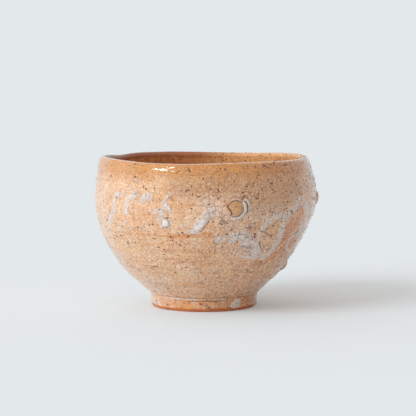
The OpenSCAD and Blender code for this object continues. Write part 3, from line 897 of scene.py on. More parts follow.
@dataclass(frozen=True)
class CrackledGlaze:
    """Crackled feldspar glaze on stoneware, dipped and kiln-fired.

    The melt pools and thins, so its tone drifts. It shrinks more than the clay, so it breaks into fine
    cells, pale in the middle and stained at the cracks. Iron in the clay bleeds through as streaks along
    the throwing rings and as specks. A clear glassy skin lies over it, which turns pale where it is seen
    edge-on. Marks on the mesh add white slip, rust, a wider net of cracks and dark crevices, and also
    painted light: sheen on the sides, highlights on the crest and in thin lines, and painted shade and
    shadows.
    """

    name: str
    low: str  # colour near the foot
    body: str  # colour of the wall
    lip: str  # colour where the glaze runs thin at the lip
    streak: str  # colour of the iron streaks
    pale: str  # colour where the glaze clouds over
    stain: str = "#a86e42"  # colour of the fine cracks
    slip: str = "#dbcdc4"  # colour of the slip, and of the painted sheen
    thick_slip: str = "#e9e5e2"  # colour of the slip where it lies thickest
    rust: str = "#df9459"  # colour of bare-looking, iron-rich patches; inside and on the pellets also of painted shade
    net: str = "#80604f"  # colour of the wider cracks
    crevice: str = "#5a3626"  # colour of open crevices, of painted shadows beside raised slip and pellets, and of specks
    thin: str = "#ae8352"  # colour of the clay that shows through where the dip ran thin
    crest: str = "#ecd3bf"  # colour of the painted highlight along the lip's crest
    cell: float = 1.7  # width of a cell of the crackle
    # How far the stain reaches into a cell, drawn wider than it is so that it shows
    cell_edge: float = 0.36
    net_cell: float = 3.2  # width of a cell of the wider net
    net_edge: float = 0.26  # how far its stain reaches into a cell
    bend_size: float = 3.5  # width of the swells that bend the cracks
    bend_reach: float = 1.6  # how far they bend them
    speck_gap: float = 2.1  # spacing of the fine specks
    stained: float = 0.62  # how strong the stain of the fine cracks is
    streaked: float = 0.7  # how strong the iron streaks are
    broken: float = 0.6  # how far patches break up the rust
    clouded: float = 0.5  # how far the glaze clouds over
    mottle: float = 0.16  # how far the grain of the melt lightens and darkens it
    roughness: float = 0.5  # roughness of the wall under its glassy skin
    lip_roughness: float = 0.3  # the same at the lip
    shine: float = 0.2  # how strongly the wall under that skin reflects
    coat: float = 1.0  # how strong the glassy skin is
    coat_ior: float = 1.66  # its refraction, at the upper end for glazes
    coat_roughness: float = 0.05

    def build(self) -> Material:
        """Builds the material's nodes.

        Returns:
            The material.
        """
        material, tree, shader = bare_material(self.name)
        place = add(tree, "ShaderNodeTexCoord").outputs["Object"]
        level: dict[str, object] = {}
        for name in (*MARKS, "crest"):
            level[name] = add(tree, "ShaderNodeAttribute", attribute_name=name).outputs["Fac"]
        level["right"], _, level["height"] = add(tree, "ShaderNodeSeparateXYZ", {0: place}).outputs
        # Noise, by the width of one swell in millimetres and how far it is drawn out round the bowl
        for name, size, detail, length in (
            ("drift", 24.0, 2.0, 1.0), ("cloud", 7.0, 4.0, 1.0), ("streak", 1.6, 3.0, 24.0),
            ("patch", 2.8, 3.0, 1.0), ("grain", 0.8, 2.0, 1.0),
        ):
            round_it, up_it = 1 / (size * length * MM), 1 / (size * MM)
            at = add(tree, "ShaderNodeMapping", {"Vector": place, "Scale": (round_it, round_it, up_it)})
            noisy = {"Vector": at, "Scale": 1.0, "Detail": detail, "Roughness": 0.6}
            level[name] = add(tree, "ShaderNodeTexNoise", noisy).outputs[0]
        # Cells of the crackle, bent by a slow noise, as 1 on a crack and 0 inside the cell
        bends = {"Vector": place, "Scale": 1 / (self.bend_size * MM), "Detail": 1.0}
        bend = add(tree, "ShaderNodeTexNoise", bends).outputs["Color"]
        bent = {0: bend, 1: (self.bend_reach * MM,) * 3, 2: place}
        bent = add(tree, "ShaderNodeVectorMath", bent, operation="MULTIPLY_ADD")
        for name, cell, reach in (
            ("crackle", self.cell, self.cell_edge), ("cracks", self.net_cell, self.net_edge)
        ):
            cells = {"Vector": bent, "Scale": 1 / (cell * MM)}
            edge = add(tree, "ShaderNodeTexVoronoi", cells, feature="DISTANCE_TO_EDGE")
            fade = {"Value": edge, "From Max": reach / cell, "To Min": 1.0, "To Max": 0.0}
            level[name] = add(tree, "ShaderNodeMapRange", fade, interpolation_type="SMOOTHSTEP")
        # Fine iron specks, nearly half of them left out by chance
        speck = add(tree, "ShaderNodeTexVoronoi", {"Vector": place, "Scale": 1 / (self.speck_gap * MM)})
        level["speck"] = speck.outputs["Distance"]
        level["chance"] = add(tree, "ShaderNodeSeparateColor", {0: speck.outputs["Color"]}).outputs["Red"]

        # Each sum by name; a range runs from low to high and gives bottom to top.
        for name, operation, *terms in (
            ("body", "RANGE", "height", 8 * MM, 36 * MM, 0.0, 1.0),
            # The lip's amber ends in an uneven line, so the drift moves its height up and down by 3 mm.
            ("lip height", "MULTIPLY_ADD", "drift", 6 * MM, "height"),
            ("lip", "RANGE", "lip height", 70 * MM, 82 * MM, 0.0, 1.0),
            ("streaks", "RANGE", "streak", 0.5, 0.72, 0.0, self.streaked),
            ("cloud 1", "RANGE", "cloud", 0.42, 0.7, 0.0, self.clouded),
            ("under lip", "RANGE", "lip", 0.2, 0.9, 1.0, 0.15),
            ("clouds", "MULTIPLY", "cloud 1", "under lip"),
            ("thins", "MULTIPLY", "thin", 0.52),
            ("uneven", "RANGE", "drift", 0.3, 0.7, 0.55, 1.0),
            ("stain 1", "MULTIPLY", "crackle", "uneven"),
            ("stain 2", "MULTIPLY", "stain 1", self.stained),
            ("off net", "RANGE", "net", 0.0, 1.0, 1.0, 0.55),
            ("stain 3", "MULTIPLY", "stain 2", "off net"),
            # The fine cracks are stained more towards the right.
            ("to right", "RANGE", "right", -45 * MM, 45 * MM, 0.86, 1.16),
            ("stains", "MULTIPLY", "stain 3", "to right"),
            # The marks are broken up by patches and grain before they cover the glaze.
            ("patchy", "RANGE", "patch", 0.3, 0.7, -0.5, 0.5),
            ("grainy", "RANGE", "grain", 0.3, 0.7, -0.5, 0.5),
            ("rust 1", "MULTIPLY_ADD", "patchy", self.broken, "rust"),
            ("rust 2", "RANGE", "rust 1", 0.3, 0.9, 0.0, 0.9),
            ("rust there", "RANGE", "rust", 0.03, 0.3, 0.0, 1.0),
            ("rusts", "MULTIPLY", "rust 2", "rust there"),
            ("slip 1", "MULTIPLY_ADD", "patchy", 0.9, "slip"),
            ("slip 2", "MULTIPLY_ADD", "grainy", 0.45, "slip 1"),
            ("slip 3", "RANGE", "slip 2", 0.35, 0.9, 0.0, 0.95),
            ("slip there", "RANGE", "slip", 0.03, 0.3, 0.0, 1.0),
            ("slips", "MULTIPLY", "slip 3", "slip there"),
            ("thick slip", "RANGE", "slip", 0.95, 1.25, 0.0, 0.9),
            # A faint haze of the slip colour, which also carries the painted sheen of the washes
            ("slip haze", "RANGE", "slip", 0.02, 0.8, 0.0, 0.4),
            ("net haze", "MULTIPLY_ADD", "net", 0.28, "slip haze"),
            # Painted highlight along the lip's crest, broken up by patches
            ("crest 1", "MULTIPLY_ADD", "patchy", 0.8, "crest"),
            ("crest 2", "RANGE", "crest 1", 0.4, 1.2, 0.0, 0.6),
            ("crest_highlight", "MULTIPLY", "crest 2", "crest"),
            # Cracks run all through the slip and its net; elsewhere only short bits of them are stained.
            ("slip cracks", "MULTIPLY", "slips", 0.5),
            ("net 1", "MULTIPLY_ADD", "net", 0.8, "slip cracks"),
            ("dash", "RANGE", "patch", 0.46, 0.6, 0.0, 0.62),
            ("net 2", "MAXIMUM", "net 1", "dash"),
            ("nets", "MULTIPLY", "net 2", "cracks"),
            ("crevice 1", "MULTIPLY_ADD", "grain", 0.6, "crevice"),
            ("crevices", "RANGE", "crevice 1", 0.65, 1.05, 0.0, 0.95),
            ("dot", "RANGE", "speck", 0.06, 0.2, 0.75, 0.0),
            ("chosen", "GREATER_THAN", "chance", 0.45),
            ("specks", "MULTIPLY", "dot", "chosen"),
            ("light", "RANGE", "grain", 0.25, 0.75, 1 - self.mottle, 1 + self.mottle),
            ("roughness", "RANGE", "lip", 0.0, 1.0, self.roughness, self.lip_roughness),
            # Bump of about a tenth of a millimetre: sunk cracks, grained melt and raised slip
            ("sunk", "MULTIPLY_ADD", "crackle", -0.5, "grain"),
            ("relief", "MULTIPLY_ADD", "slips", 1.2, "sunk"),
        ):
            values = [level[term] if isinstance(term, str) else term for term in terms]
            if operation == "RANGE":
                inputs = dict(zip(("Value", "From Min", "From Max", "To Min", "To Max"), values))
                level[name] = add(tree, "ShaderNodeMapRange", inputs, interpolation_type="SMOOTHSTEP")
            else:
                level[name] = add(tree, "ShaderNodeMath", dict(enumerate(values)), operation=operation)

        tone: object = linear(self.low)
        for share, colour in (
            ("body", self.body), ("lip", self.lip), ("streaks", self.streak), ("clouds", self.pale),
            ("thins", self.thin), ("rusts", self.rust), ("stains", self.stain), ("net haze", self.slip),
            ("slips", self.slip), ("crest_highlight", self.crest), ("nets", self.net),
            ("thick slip", self.thick_slip), ("crevices", self.crevice), ("specks", self.crevice),
        ):
            layer = {"Factor": level[share], "A": tone, "B": linear(colour)}
            tone = add(tree, "ShaderNodeMix", layer, data_type="RGBA")
        tone = add(tree, "ShaderNodeVectorMath", {0: tone, "Scale": level["light"]}, operation="SCALE")
        bumps = {"Height": level["relief"], "Distance": 0.1 * MM, "Strength": 0.8}
        bump = add(tree, "ShaderNodeBump", bumps)
        for socket, source in (("Base Color", tone), ("Roughness", level["roughness"]), ("Normal", bump)):
            tree.links.new(source.outputs[0], shader.inputs[socket])
        for socket, value in (
            ("Specular IOR Level", self.shine), ("Coat Weight", self.coat),
            ("Coat IOR", self.coat_ior), ("Coat Roughness", self.coat_roughness),
        ):
            shader.inputs[socket].default_value = value
        return material


@dataclass(frozen=True)
class BareClay:
    """Iron-bearing stoneware, turned and wiped, fired bare.

    It is dry and orange, toasted darker in patches, with grog that shows as small pale and dark grains.
    """

    name: str
    colour: str
    toast: str  # colour of its toasted patches
    roughness: float

    def build(self) -> Material:
        """Builds the material's nodes.

        Returns:
            The material.
        """
        material, tree, shader = bare_material(self.name)
        place = add(tree, "ShaderNodeTexCoord").outputs["Object"]
        patch = add(tree, "ShaderNodeTexNoise", {"Vector": place, "Scale": 1 / (5 * MM), "Detail": 4.0})
        patch = add(tree, "ShaderNodeMapRange", {"Value": patch, "From Min": 0.4, "From Max": 0.68})
        layer = {"Factor": patch, "A": linear(self.colour), "B": linear(self.toast)}
        tone = add(tree, "ShaderNodeMix", layer, data_type="RGBA")
        # Grog, ground fired clay of about half a millimetre, drawn 0.8 mm wide to show
        grog = add(tree, "ShaderNodeTexVoronoi", {"Vector": place, "Scale": 1 / (0.8 * MM)})
        chance = add(tree, "ShaderNodeSeparateColor", {0: grog.outputs["Color"]}).outputs["Red"]
        light = add(tree, "ShaderNodeMapRange", {"Value": chance, "To Min": 0.74, "To Max": 1.18})
        tone = add(tree, "ShaderNodeVectorMath", {0: tone, "Scale": light}, operation="SCALE")
        grains = {"Height": grog.outputs["Distance"], "Distance": 0.12 * MM, "Strength": 0.7}
        bump = add(tree, "ShaderNodeBump", grains)
        tree.links.new(tone.outputs[0], shader.inputs["Base Color"])
        tree.links.new(bump.outputs[0], shader.inputs["Normal"])
        shader.inputs["Roughness"].default_value = self.roughness
        return material


@dataclass(frozen=True)
class IronBleed:
    """Iron grains of the clay, melted into the glaze: dark brown, glassy, redder where they thin out."""

    name: str
    colour: str
    thin: str  # colour where they thin out
    roughness: float = 0.4

    def build(self) -> Material:
        """Builds the material's nodes.

        Returns:
            The material.
        """
        material, tree, shader = bare_material(self.name)
        place = add(tree, "ShaderNodeTexCoord").outputs["Object"]
        blot = add(tree, "ShaderNodeTexNoise", {"Vector": place, "Scale": 1 / (1.5 * MM), "Detail": 2.0})
        blot = add(tree, "ShaderNodeMapRange", {"Value": blot, "From Min": 0.35, "From Max": 0.65})
        layer = {"Factor": blot, "A": linear(self.colour), "B": linear(self.thin)}
        tone = add(tree, "ShaderNodeMix", layer, data_type="RGBA")
        tree.links.new(tone.outputs[2], shader.inputs["Base Color"])
        shader.inputs["Roughness"].default_value = self.roughness
        return material


# Feldspar glaze, dipped over stoneware: pale warm buff, finely crackled and specked, amber at the lip
OUTER_GLAZE = CrackledGlaze(
    "crackled_amber_glaze", low="#efbf94", body="#eebe92", lip="#d79140", streak="#d08e54", pale="#f3dcc4"
)
# The same glaze inside, less crackled and mottled: honey, brown towards the floor, and darker as painted
# shade on the left
INNER_GLAZE = CrackledGlaze(
    "glossy_inner_glaze", low="#b07042", body="#e5af77", lip="#e5af77", streak="#c07c48", pale="#ecc396",
    stain="#8a5430", rust="#a05a36", stained=0.3, broken=0.12, mottle=0.1, coat=0.4,
)
# The thin end of the dip on the foot, through which the orange clay shows
FOOT_GLAZE = CrackledGlaze(
    "thin_foot_glaze", low="#e09c62", body="#e09c62", lip="#cd8d50", streak="#bb743e", pale="#f4d8b8"
)
# White slip, trailed on the wall and melted into the glaze: chalky, and broken up by the buff round it
SLIP_GLAZE = replace(OUTER_GLAZE, name="white_slip_under_clear_glaze")
# The same glaze over pressed-on pellets: darker, with rusty crowns, partly painted shade
PELLET_GLAZE = CrackledGlaze(
    "amber_glaze_on_pellets", low="#d9a46e", body="#d9a46c", lip="#d9a46c", streak="#c0824a", pale="#e6bc8a",
    rust="#94532e",
)
# Stoneware, trimmed and fired bare: dry and brown; on the foot it is wiped, so it is smoother and orange
WALL_CLAY = BareClay("bare_stoneware", colour="#b97a4c", toast="#9c5f38", roughness=0.75)
FOOT_CLAY = BareClay("wiped_foot_stoneware", colour="#d67f43", toast="#bc6733", roughness=0.6)
# Iron grains that melted into the glaze: small dark brown dots
IRON = IronBleed("iron_specks_in_glaze", colour="#5a4040", thin="#7d5444")


# Marks on the wall: angle and height of their places, width, strength and lift

FRONT_PELLET: Place = (285.0, 58.0)


def round_pellet(radius: float, start: float, end: float) -> tuple[Place, ...]:
    """Lays an arc round the front pellet.

    Args:
        radius: radius of the arc.
        start: where it starts, anticlockwise from the right.
        end: where it ends.

    Returns:
        Angle and height of places along it.
    """
    clock = np.radians(np.linspace(start, end, 7))
    angle = FRONT_PELLET[0] + np.degrees(radius * np.cos(clock) / BowlForm.belly_r)
    return tuple(zip(angle, FRONT_PELLET[1] + radius * np.sin(clock)))


SLIP_STROKES: dict[str, tuple[Stroke, ...]] = {
    "arch_left": (
        Stroke(((220.5, 72.5), (220.5, 69.5), (220.5, 67)), 2.5, 0.2, 0.05),
        Stroke(((217, 63), (219, 63.5), (222, 63.5)), 3, 0.65, 0.15),
        Stroke(
            ((217.5, 62.5), (217, 59), (216, 55), (214, 52), (211, 49.5), (209, 46.5), (208, 44)),
            3.3, 0.86, 0.15,
        ),
        Stroke(((208, 44), (208, 40.5), (206.5, 36), (207.5, 32.5), (208, 28)), 4.5, 0.4, 0.05),
    ),
    "arch": (
        Stroke(((225.5, 54.5), (226.5, 57), (227, 60), (228, 62), (230, 63.5), (232, 65)), 3.3, 0.9, 0.15),
        Stroke(((235, 61), (237.5, 63), (239, 64.5), (241, 63.5)), 3.3, 0.9, 0.15),
        Stroke(((232, 65), (234, 63.5), (235, 61.5)), 1.4, 0.45, 0.05),
    ),
    "hook": (
        Stroke(((252, 66), (250.5, 64), (249, 62), (248, 60.5)), 1.8, 0.98, 0.2),
        Stroke(((249.5, 61), (250.5, 59.5), (251.5, 58.5), (252.5, 56.5)), 2.2, 1.02, 0.25),
        Stroke(((253.5, 66.5), (254.5, 66.5), (256, 67)), 2.1, 0.4, 0.05),
    ),
    "tail": (
        Stroke(((244, 56), (246, 56.5), (248, 57.5), (248.5, 59.5)), 3.6, 0.6, 0.1),
        Stroke(((248, 57), (248, 54), (247, 51.5)), 4.8, 0.7, 0.15),
    ),
    "streak": (
        Stroke(((272.5, 57), (271, 55), (270, 54), (268, 51.5), (267, 49.5), (265.5, 47)), 5.2, 0.98, 0.4),
        Stroke(((265.5, 47), (264.5, 46), (261, 46.5)), 2.5, 0.65, 0.15),
        Stroke(((272.5, 57), (273.5, 56.5), (275, 57)), 2.1, 0.6, 0.1),
    ),
    "halo": (
        Stroke(round_pellet(4.9, 121, 66), 1, 0.8, 0.2),
        Stroke(round_pellet(5.2, 40, -94), 1.8, 1.1, 0.25),
        Stroke(round_pellet(4.4, 210, 261), 1, 0.6, 0.1),
        Stroke(round_pellet(7.2, 128, 74), 1.2, 0.65, 0.15),
        Stroke(round_pellet(7.5, 38, -19), 1.3, 0.8, 0.15),
        Stroke(((289, 63), (290.5, 64.5)), 1.2, 0.4, 0.15),
    ),
    "sheet": (
        Stroke(((277.5, 42), (282, 42.5), (284.5, 43)), 3.8, 0.8, 0.1),
        Stroke(((286, 42), (288.5, 43), (291.5, 43), (294, 42.5)), 5.4, 1.02, 0.15),
        Stroke(((292.5, 39.5), (295.5, 39), (297.5, 39.5)), 4.8, 1.03, 0.1),
        Stroke(((297.5, 41), (300, 39), (301.5, 36.5)), 3.9, 1.0, 0.2),
        Stroke(((298.5, 34.5), (301.5, 34), (304, 34.5)), 5.8, 1.04, 0.2),
        Stroke(((294, 32), (298.5, 31.5), (303, 31), (305, 32)), 1.8, 1.05, 0.15),
    ),
    "loop": (
        Stroke(((311, 53.5), (308, 52.5), (305.5, 51), (302.5, 48.5)), 4.4, 0.76, 0.12),
        Stroke(((302.5, 48.5), (301, 46.5), (301, 43)), 3, 0.75, 0.12),
        Stroke(((301, 43), (301.5, 40), (303.5, 37), (306.5, 34)), 2, 0.9, 0.15),
    ),
    "strand": (
        Stroke(((328.5, 60.5), (324, 59), (321, 57), (318, 54), (315.5, 52)), 6.2, 0.62, 0.08),
        Stroke(((315.5, 52), (314.5, 50), (315, 46.5)), 4.2, 0.8, 0.12),
        Stroke(((315, 46.5), (315.5, 43), (315.5, 40)), 4.8, 0.92, 0.12),
        Stroke(((315.5, 40), (314.5, 37), (313.5, 34), (311.5, 31.5), (309.5, 30.5)), 4, 0.92, 0.12),
    ),
    "edge": (
        Stroke(
            ((329.5, 59.5), (333, 57), (336.5, 51.5), (338, 48), (335, 45), (333, 42.5)), 5.5, 0.78, 0.12
        ),
        Stroke(
            ((333.5, 44), (331, 42), (327, 39.5), (326.5, 36.5), (329.5, 33.5), (335, 32.5)), 2, 0.66, 0.1
        ),
        Stroke(((335, 42), (338, 38.5), (338.5, 34.5), (335.5, 32.5)), 2.4, 0.55, 0.08),
        Stroke(((344, 52.5), (343, 48), (341, 43.5), (340.5, 37.5), (338.5, 33.5)), 5.5, 0.42, 0.08),
    ),
}
DROP_STROKES = (
    Stroke(((250, 50.5), (250, 50.5)), 4.6, 1.4),
    Stroke(((249, 50), (248, 49), (247, 48.5)), 1.8, 0.9, 0.35),
)
# The streak's bright end, the arch's low end and a faint run, then thin white lines above the neck and along
# the turned ledge, which are painted highlights
SLIP_AND_HIGHLIGHT_LINES = (
    Stroke(((269, 52), (267.5, 49.5), (266, 48)), 3.8, 1.35),
    Stroke(((225.5, 54.5), (226, 56)), 2.6, 1.15),
    Stroke(((256, 51.5), (259, 49), (262.5, 46)), 2.2, 0.35),
    # Painted highlights: the glaze roll above the neck and the edge of the turned ledge
    Stroke(((315.5, 10.5), (322.5, 12), (331, 14)), 1.1, 1),
    Stroke(((220.5, 18), (249, 18.5), (271.5, 19)), 0.9, 0.5),
)
# Wide thin washes in the slip mark that only haze the glaze, on the left and on the right: painted sheen
# along the sides
SHEEN_WASHES = (
    Stroke(((205, 72), (205, 52), (210, 32), (222, 14)), 26, 0.18),
    Stroke(((226, 77), (222, 62), (220, 48)), 22, 0.19),
    Stroke(((348, 76), (349, 56), (347, 42)), 18, 0.5),
    Stroke(((343, 66), (342, 59), (342, 53)), 9, 0.44),
)
RUST_STROKES = (
    Stroke(((225, 43.5), (236.5, 44), (246.5, 44.5)), 2.6, 0.55),
    Stroke(((251, 43.5), (262.5, 44), (275, 45.5)), 3.4, 0.85),
    Stroke(((229.5, 38.5), (238, 38.5), (247, 39.5)), 2.6, 0.6),
    Stroke(((328, 57), (328, 53.5), (326, 49.5), (323, 45.5), (321.5, 41.5)), 12, 0.9),
    Stroke(((331.5, 39), (331.5, 36.5), (332, 33.5)), 8.5, 1.3),
    Stroke(((324.5, 35), (320, 31.5), (314.5, 29), (307.5, 27.5)), 8, 0.75),
    Stroke(((268.5, 45), (272, 45.5), (275, 46.5)), 2, 0.7),
    Stroke(((273, 53.5), (274, 50.5), (272.5, 47.5)), 2.6, 0.6),
    Stroke(round_pellet(6, 110, 70), 1.5, 1),
    Stroke(((252.5, 64.5), (253, 62.5), (252.5, 60)), 2.2, 0.9),
    Stroke(((306.5, 48), (306.5, 44.5), (308.5, 39.5)), 6.6, 0.3),
)
# Open crevices round the pellet and beside the slip, darkened in part as painted shadow on the lower right
# of raised slip and pellets, the thinnest drawn 0.9 mm wide to show, then single large specks
CREVICE_AND_SHADOW_STROKES = (
    Stroke(((281, 59.5), (281.5, 58), (282.5, 57), (283, 55.5)), 1.1, 0.9),
    Stroke(round_pellet(4.2, 157, 47), 0.9, 0.68),
    Stroke(round_pellet(4.1, 226, 364), 0.9, 0.66),
    Stroke(round_pellet(6.6, 33, -22), 0.9, 0.8),
    Stroke(((288, 62.5), (289, 63.5), (290, 64.5)), 1.4, 0.7),
    Stroke(((288.5, 66), (290.5, 66.5), (293.5, 66)), 1.5, 0.58),
    Stroke(((250.5, 52.5), (251.5, 51.5), (252, 50), (251, 48.5), (249, 48)), 0.9, 0.45),
    Stroke(((272, 52), (271, 50), (269.5, 48), (268.5, 46.5), (267.5, 46)), 0.9, 0.7),
    Stroke(((302, 40), (304, 37), (308, 33.5)), 0.95, 0.76),
    Stroke(((310.5, 33.5), (312, 35), (313, 37)), 0.9, 0.6),
    Stroke(((300.5, 45.5), (303, 45), (306, 44), (309, 42), (310, 43)), 0.95, 0.82),
    Stroke(((297, 50.5), (295.5, 49), (295, 47.5), (294.5, 45), (296.5, 43), (297.5, 41)), 0.9, 0.7),
    Stroke(((297, 35.5), (298.5, 33.5), (299.5, 32)), 0.9, 0.7),
    Stroke(((318.5, 55.5), (320.5, 53.5)), 1.8, 0.68),
    Stroke(((332.5, 43.5), (331, 42)), 2, 0.74),
    Stroke(((252.5, 64), (253, 63), (254, 62.5)), 1.4, 0.6),
    Stroke(((254, 62.5), (255.5, 62.5), (257.5, 62.5)), 1, 0.5),
    Stroke(((249.5, 57.5), (249, 56)), 1.1, 0.6),
    Stroke(((273.5, 57), (276.5, 57), (279.5, 57)), 0.9, 0.55),
    Stroke(((318, 79), (320, 79)), 1.6, 0.8),
    Stroke(((237, 31), (244, 31), (252, 31)), 0.9, 0.5),
    Stroke(((262, 35.5), (272, 35.5), (283, 35.5)), 0.9, 0.5),
    Stroke(((246, 24.5), (255, 24.5), (264, 24.5)), 0.9, 0.5),
    Stroke(((279, 24), (288, 24.5), (299, 24)), 0.9, 0.5),
    *(
        Stroke(((angle, z), (angle + along, z)), width, 0.85)
        for angle, z, along, width in (
            (306, 70, 0.6, 1.7), (321.5, 71.5, 0.8, 1.2), (328.5, 67, 0.6, 1.2), (260.5, 68, 1.4, 1.2),
            (240, 49, 0.4, 1.2), (252, 43, 0.8, 1.4), (213, 41, 0.8, 1.2), (313, 50, 0.5, 1.1),
            (321, 49, 0.4, 1.1), (218, 62, 0.6, 1.1), (303.5, 79, 0.8, 1.3), (281, 78, 0.6, 1.2),
            (325, 18, 1.6, 1.3), (230, 80, 0.9, 1.1), (231, 73.5, 1.0, 1.2), (262.5, 77.5, 0.4, 1.4),
            (266, 64.5, 1.3, 1.2), (271.5, 60.5, 0.5, 1.3), (244, 37, 0.9, 1.4), (296, 63, 1.1, 1.3),
            (299, 24, 0.5, 1.2),
        )
    ),
)
NET_STROKES = (
    Stroke(((270, 60.5), (276, 55.5), (283, 50), (291, 45.5)), 11.5, 1),
    Stroke(((293, 54), (299.5, 55), (307.5, 57.5)), 10, 0.8),
    Stroke(((280.5, 38.5), (287.5, 36.5), (295, 35.5)), 8.5, 0.7),
)
# Where the dip ran thin, under the lip in front and to the right of the pellet
THIN_STROKES = (
    Stroke(((256, 69), (270, 69), (288, 68.5), (305, 67), (322, 66)), 15, 0.9),
    Stroke(((293, 60), (302, 60.5), (312, 62)), 13, 0.7),
)


@dataclass(frozen=True)
class MarkKind:
    """Strokes of one kind and how they fade out across their width."""

    strokes: tuple[Stroke, ...]
    core: float  # share of the half width at which they begin to fade
    end: float  # share of the half width at which they have faded out


LAID_SLIP = tuple(stroke for strokes in SLIP_STROKES.values() for stroke in strokes)
MARKS = {
    # The slip mark also carries the painted sheen washes and the painted highlight lines.
    "slip": MarkKind((*LAID_SLIP, *DROP_STROKES, *SLIP_AND_HIGHLIGHT_LINES, *SHEEN_WASHES), 0.3, 1.55),
    "rust": MarkKind(RUST_STROKES, 0.1, 1.5),
    "crevice": MarkKind(CREVICE_AND_SHADOW_STROKES, 0.3, 1.4),
    "net": MarkKind(NET_STROKES, 0.3, 1.3),
    "thin": MarkKind(THIN_STROKES, 0.1, 1.5),
}


def read_marks(wall: GlazedWall, angle: Array, z: Array) -> dict[str, Array]:
    """Reads every kind of mark at places on the wall.

    Args:
        wall: the wall.
        angle: angles of the places.
        z: their heights.

    Returns:
        The strength of each kind at each place, 0 where there is none.
    """
    fields = {}
    for name, kind in MARKS.items():
        fields[name] = np.zeros(np.broadcast(angle, z).shape)
        for stroke in kind.strokes:
            half = 0.5 * stroke.width
            reach = stroke.distance(wall, angle, z, kind.end * half) / half
            shown = stroke.strength * (1 - smooth(reach, kind.core, kind.end))
            fields[name] = np.maximum(fields[name], shown)
    return fields


# Sub-assemblies


@dataclass
class Body:
    """The thrown clay: the cup's wall and the foot ring under it."""

    form: BowlForm
    nub_r: float = 6.0  # radius of the nub that trimming leaves in the foot's hollow
    nub_h: float = 1.2
    seam: float = 0.3  # how far inside the foot's side the cup's underside ends
    hollow_low_r: float = 20.85  # radius of the hollow over its rounded lower edge
    hollow_top_r: float = 19.0  # radius of the hollow at its top
    groove_pitch: float = 1.1  # spacing of the lines that the trimming tool cuts in the hollow
    groove_depth: float = 0.07
    line_pitch: float = 1.3  # spacing of the lines on the foot's sides
    line_depth: float = 0.06
    wipe_size: float = 9.0  # width of the swells that wiping leaves on the foot
    wipe_depth: float = 0.16

    # Rings of the cup's underside, outside and inside, and columns of the cup and of the foot
    UNDER_RINGS = 150
    OUTSIDE_RINGS = 60
    INSIDE_RINGS = 70
    CUP_COLUMNS = 180
    FOOT_COLUMNS = 220

    def wall(self) -> Skin:
        """Skins the cup.

        Returns:
            Its trimmed underside, then up the outside, over the lip and down to the floor.
        """
        form = self.form
        r = np.linspace(POLE_R, form.foot_r - self.seam, self.UNDER_RINGS)
        nub = self.nub_h * (1 - smooth(r, 0.35 * self.nub_r, 1.15 * self.nub_r))
        # The tool's lines fade in round the nub and out before the seam.
        spiral = self.groove_depth * (1 + np.sin(2 * math.pi * r / self.groove_pitch)) * smooth(r, 4, 9)
        under = np.column_stack((r, form.foot_h - nub + spiral * smooth(form.foot_r - 1 - r, 0, 1)))
        outside = respaced(form.outside(), self.OUTSIDE_RINGS)
        line = np.vstack((under, outside, respaced(form.inside(), self.INSIDE_RINGS)[1:]))
        angle = columns(self.CUP_COLUMNS, Spread.EVEN)
        rings, out = (spun(rows, angle) for rows in (line, outward(line)))
        return ring_skin(rings, out, Ends.POLES, len(under), {"relief": np.zeros(rings.shape[:2])})

    def foot(self) -> Skin:
        """Skins the foot ring.

        Returns:
            The ring, with turned sides and wiped edges.
        """
        form, edge_r, low_r = self.form, self.form.foot_edge_r, self.hollow_low_r
        # The profile runs up the outer side, in along the top, down the hollow, round its lower edge and out
        # along the face that it rests on.
        edge_z = edge_r - edge_r * np.cos(np.linspace(0, math.pi / 2, 16))
        outer_z = np.concatenate((edge_z, np.linspace(edge_r, form.foot_h, 40)[1:]))
        outer = np.column_stack((form.foot_side(outer_z), outer_z))
        top = np.linspace((form.foot_r, form.foot_h), (self.hollow_top_r, form.foot_h), 6)[1:]
        hollow = np.linspace((self.hollow_top_r, form.foot_h), (low_r, edge_r), 40)[1:]
        inner = bow(low_r + edge_r, edge_r, -edge_r, np.linspace(0, math.pi / 2, 12))[1:]
        rest = np.linspace((low_r + edge_r, 0), (outer[0, 0], 0), 14)[1:-1]
        line = np.vstack((outer, top, hollow, inner, rest))
        way = outward(np.vstack((line[-1:], line, line[:1])))[1:-1]
        z, angle = line[:, 1], columns(self.FOOT_COLUMNS, Spread.FINE_IN_FRONT)
        rings, out = spun(line, angle), spun(way, angle)
        groove = self.line_depth * np.sin(2 * math.pi * z / self.line_pitch) * smooth(z, 1, 2.2)
        wiped = self.wipe_depth * swirl(rings, self.wipe_size, 31) * smooth(z, 0, 1.6)[:, None]
        rings = rings + (groove[:, None] + wiped)[..., None] * out
        return ring_skin(rings, out, Ends.JOINED, len(line), {"relief": np.zeros(rings.shape[:2])})

    def make(self, shop: Workshop) -> None:
        """Makes both pieces and puts them in place."""
        shop.place(shop.throw(self.wall(), "thrown_cup", WALL_CLAY.build()), "clay", "clay_wall")
        shop.place(shop.throw(self.foot(), "turned_foot", FOOT_CLAY.build()), "foot_clay", "foot_ring")


SLOT_OF_COAT = {"outer_glaze": "outer_glaze", "inner_glaze": "inner_glaze", "foot_glaze": "outer_glaze"}


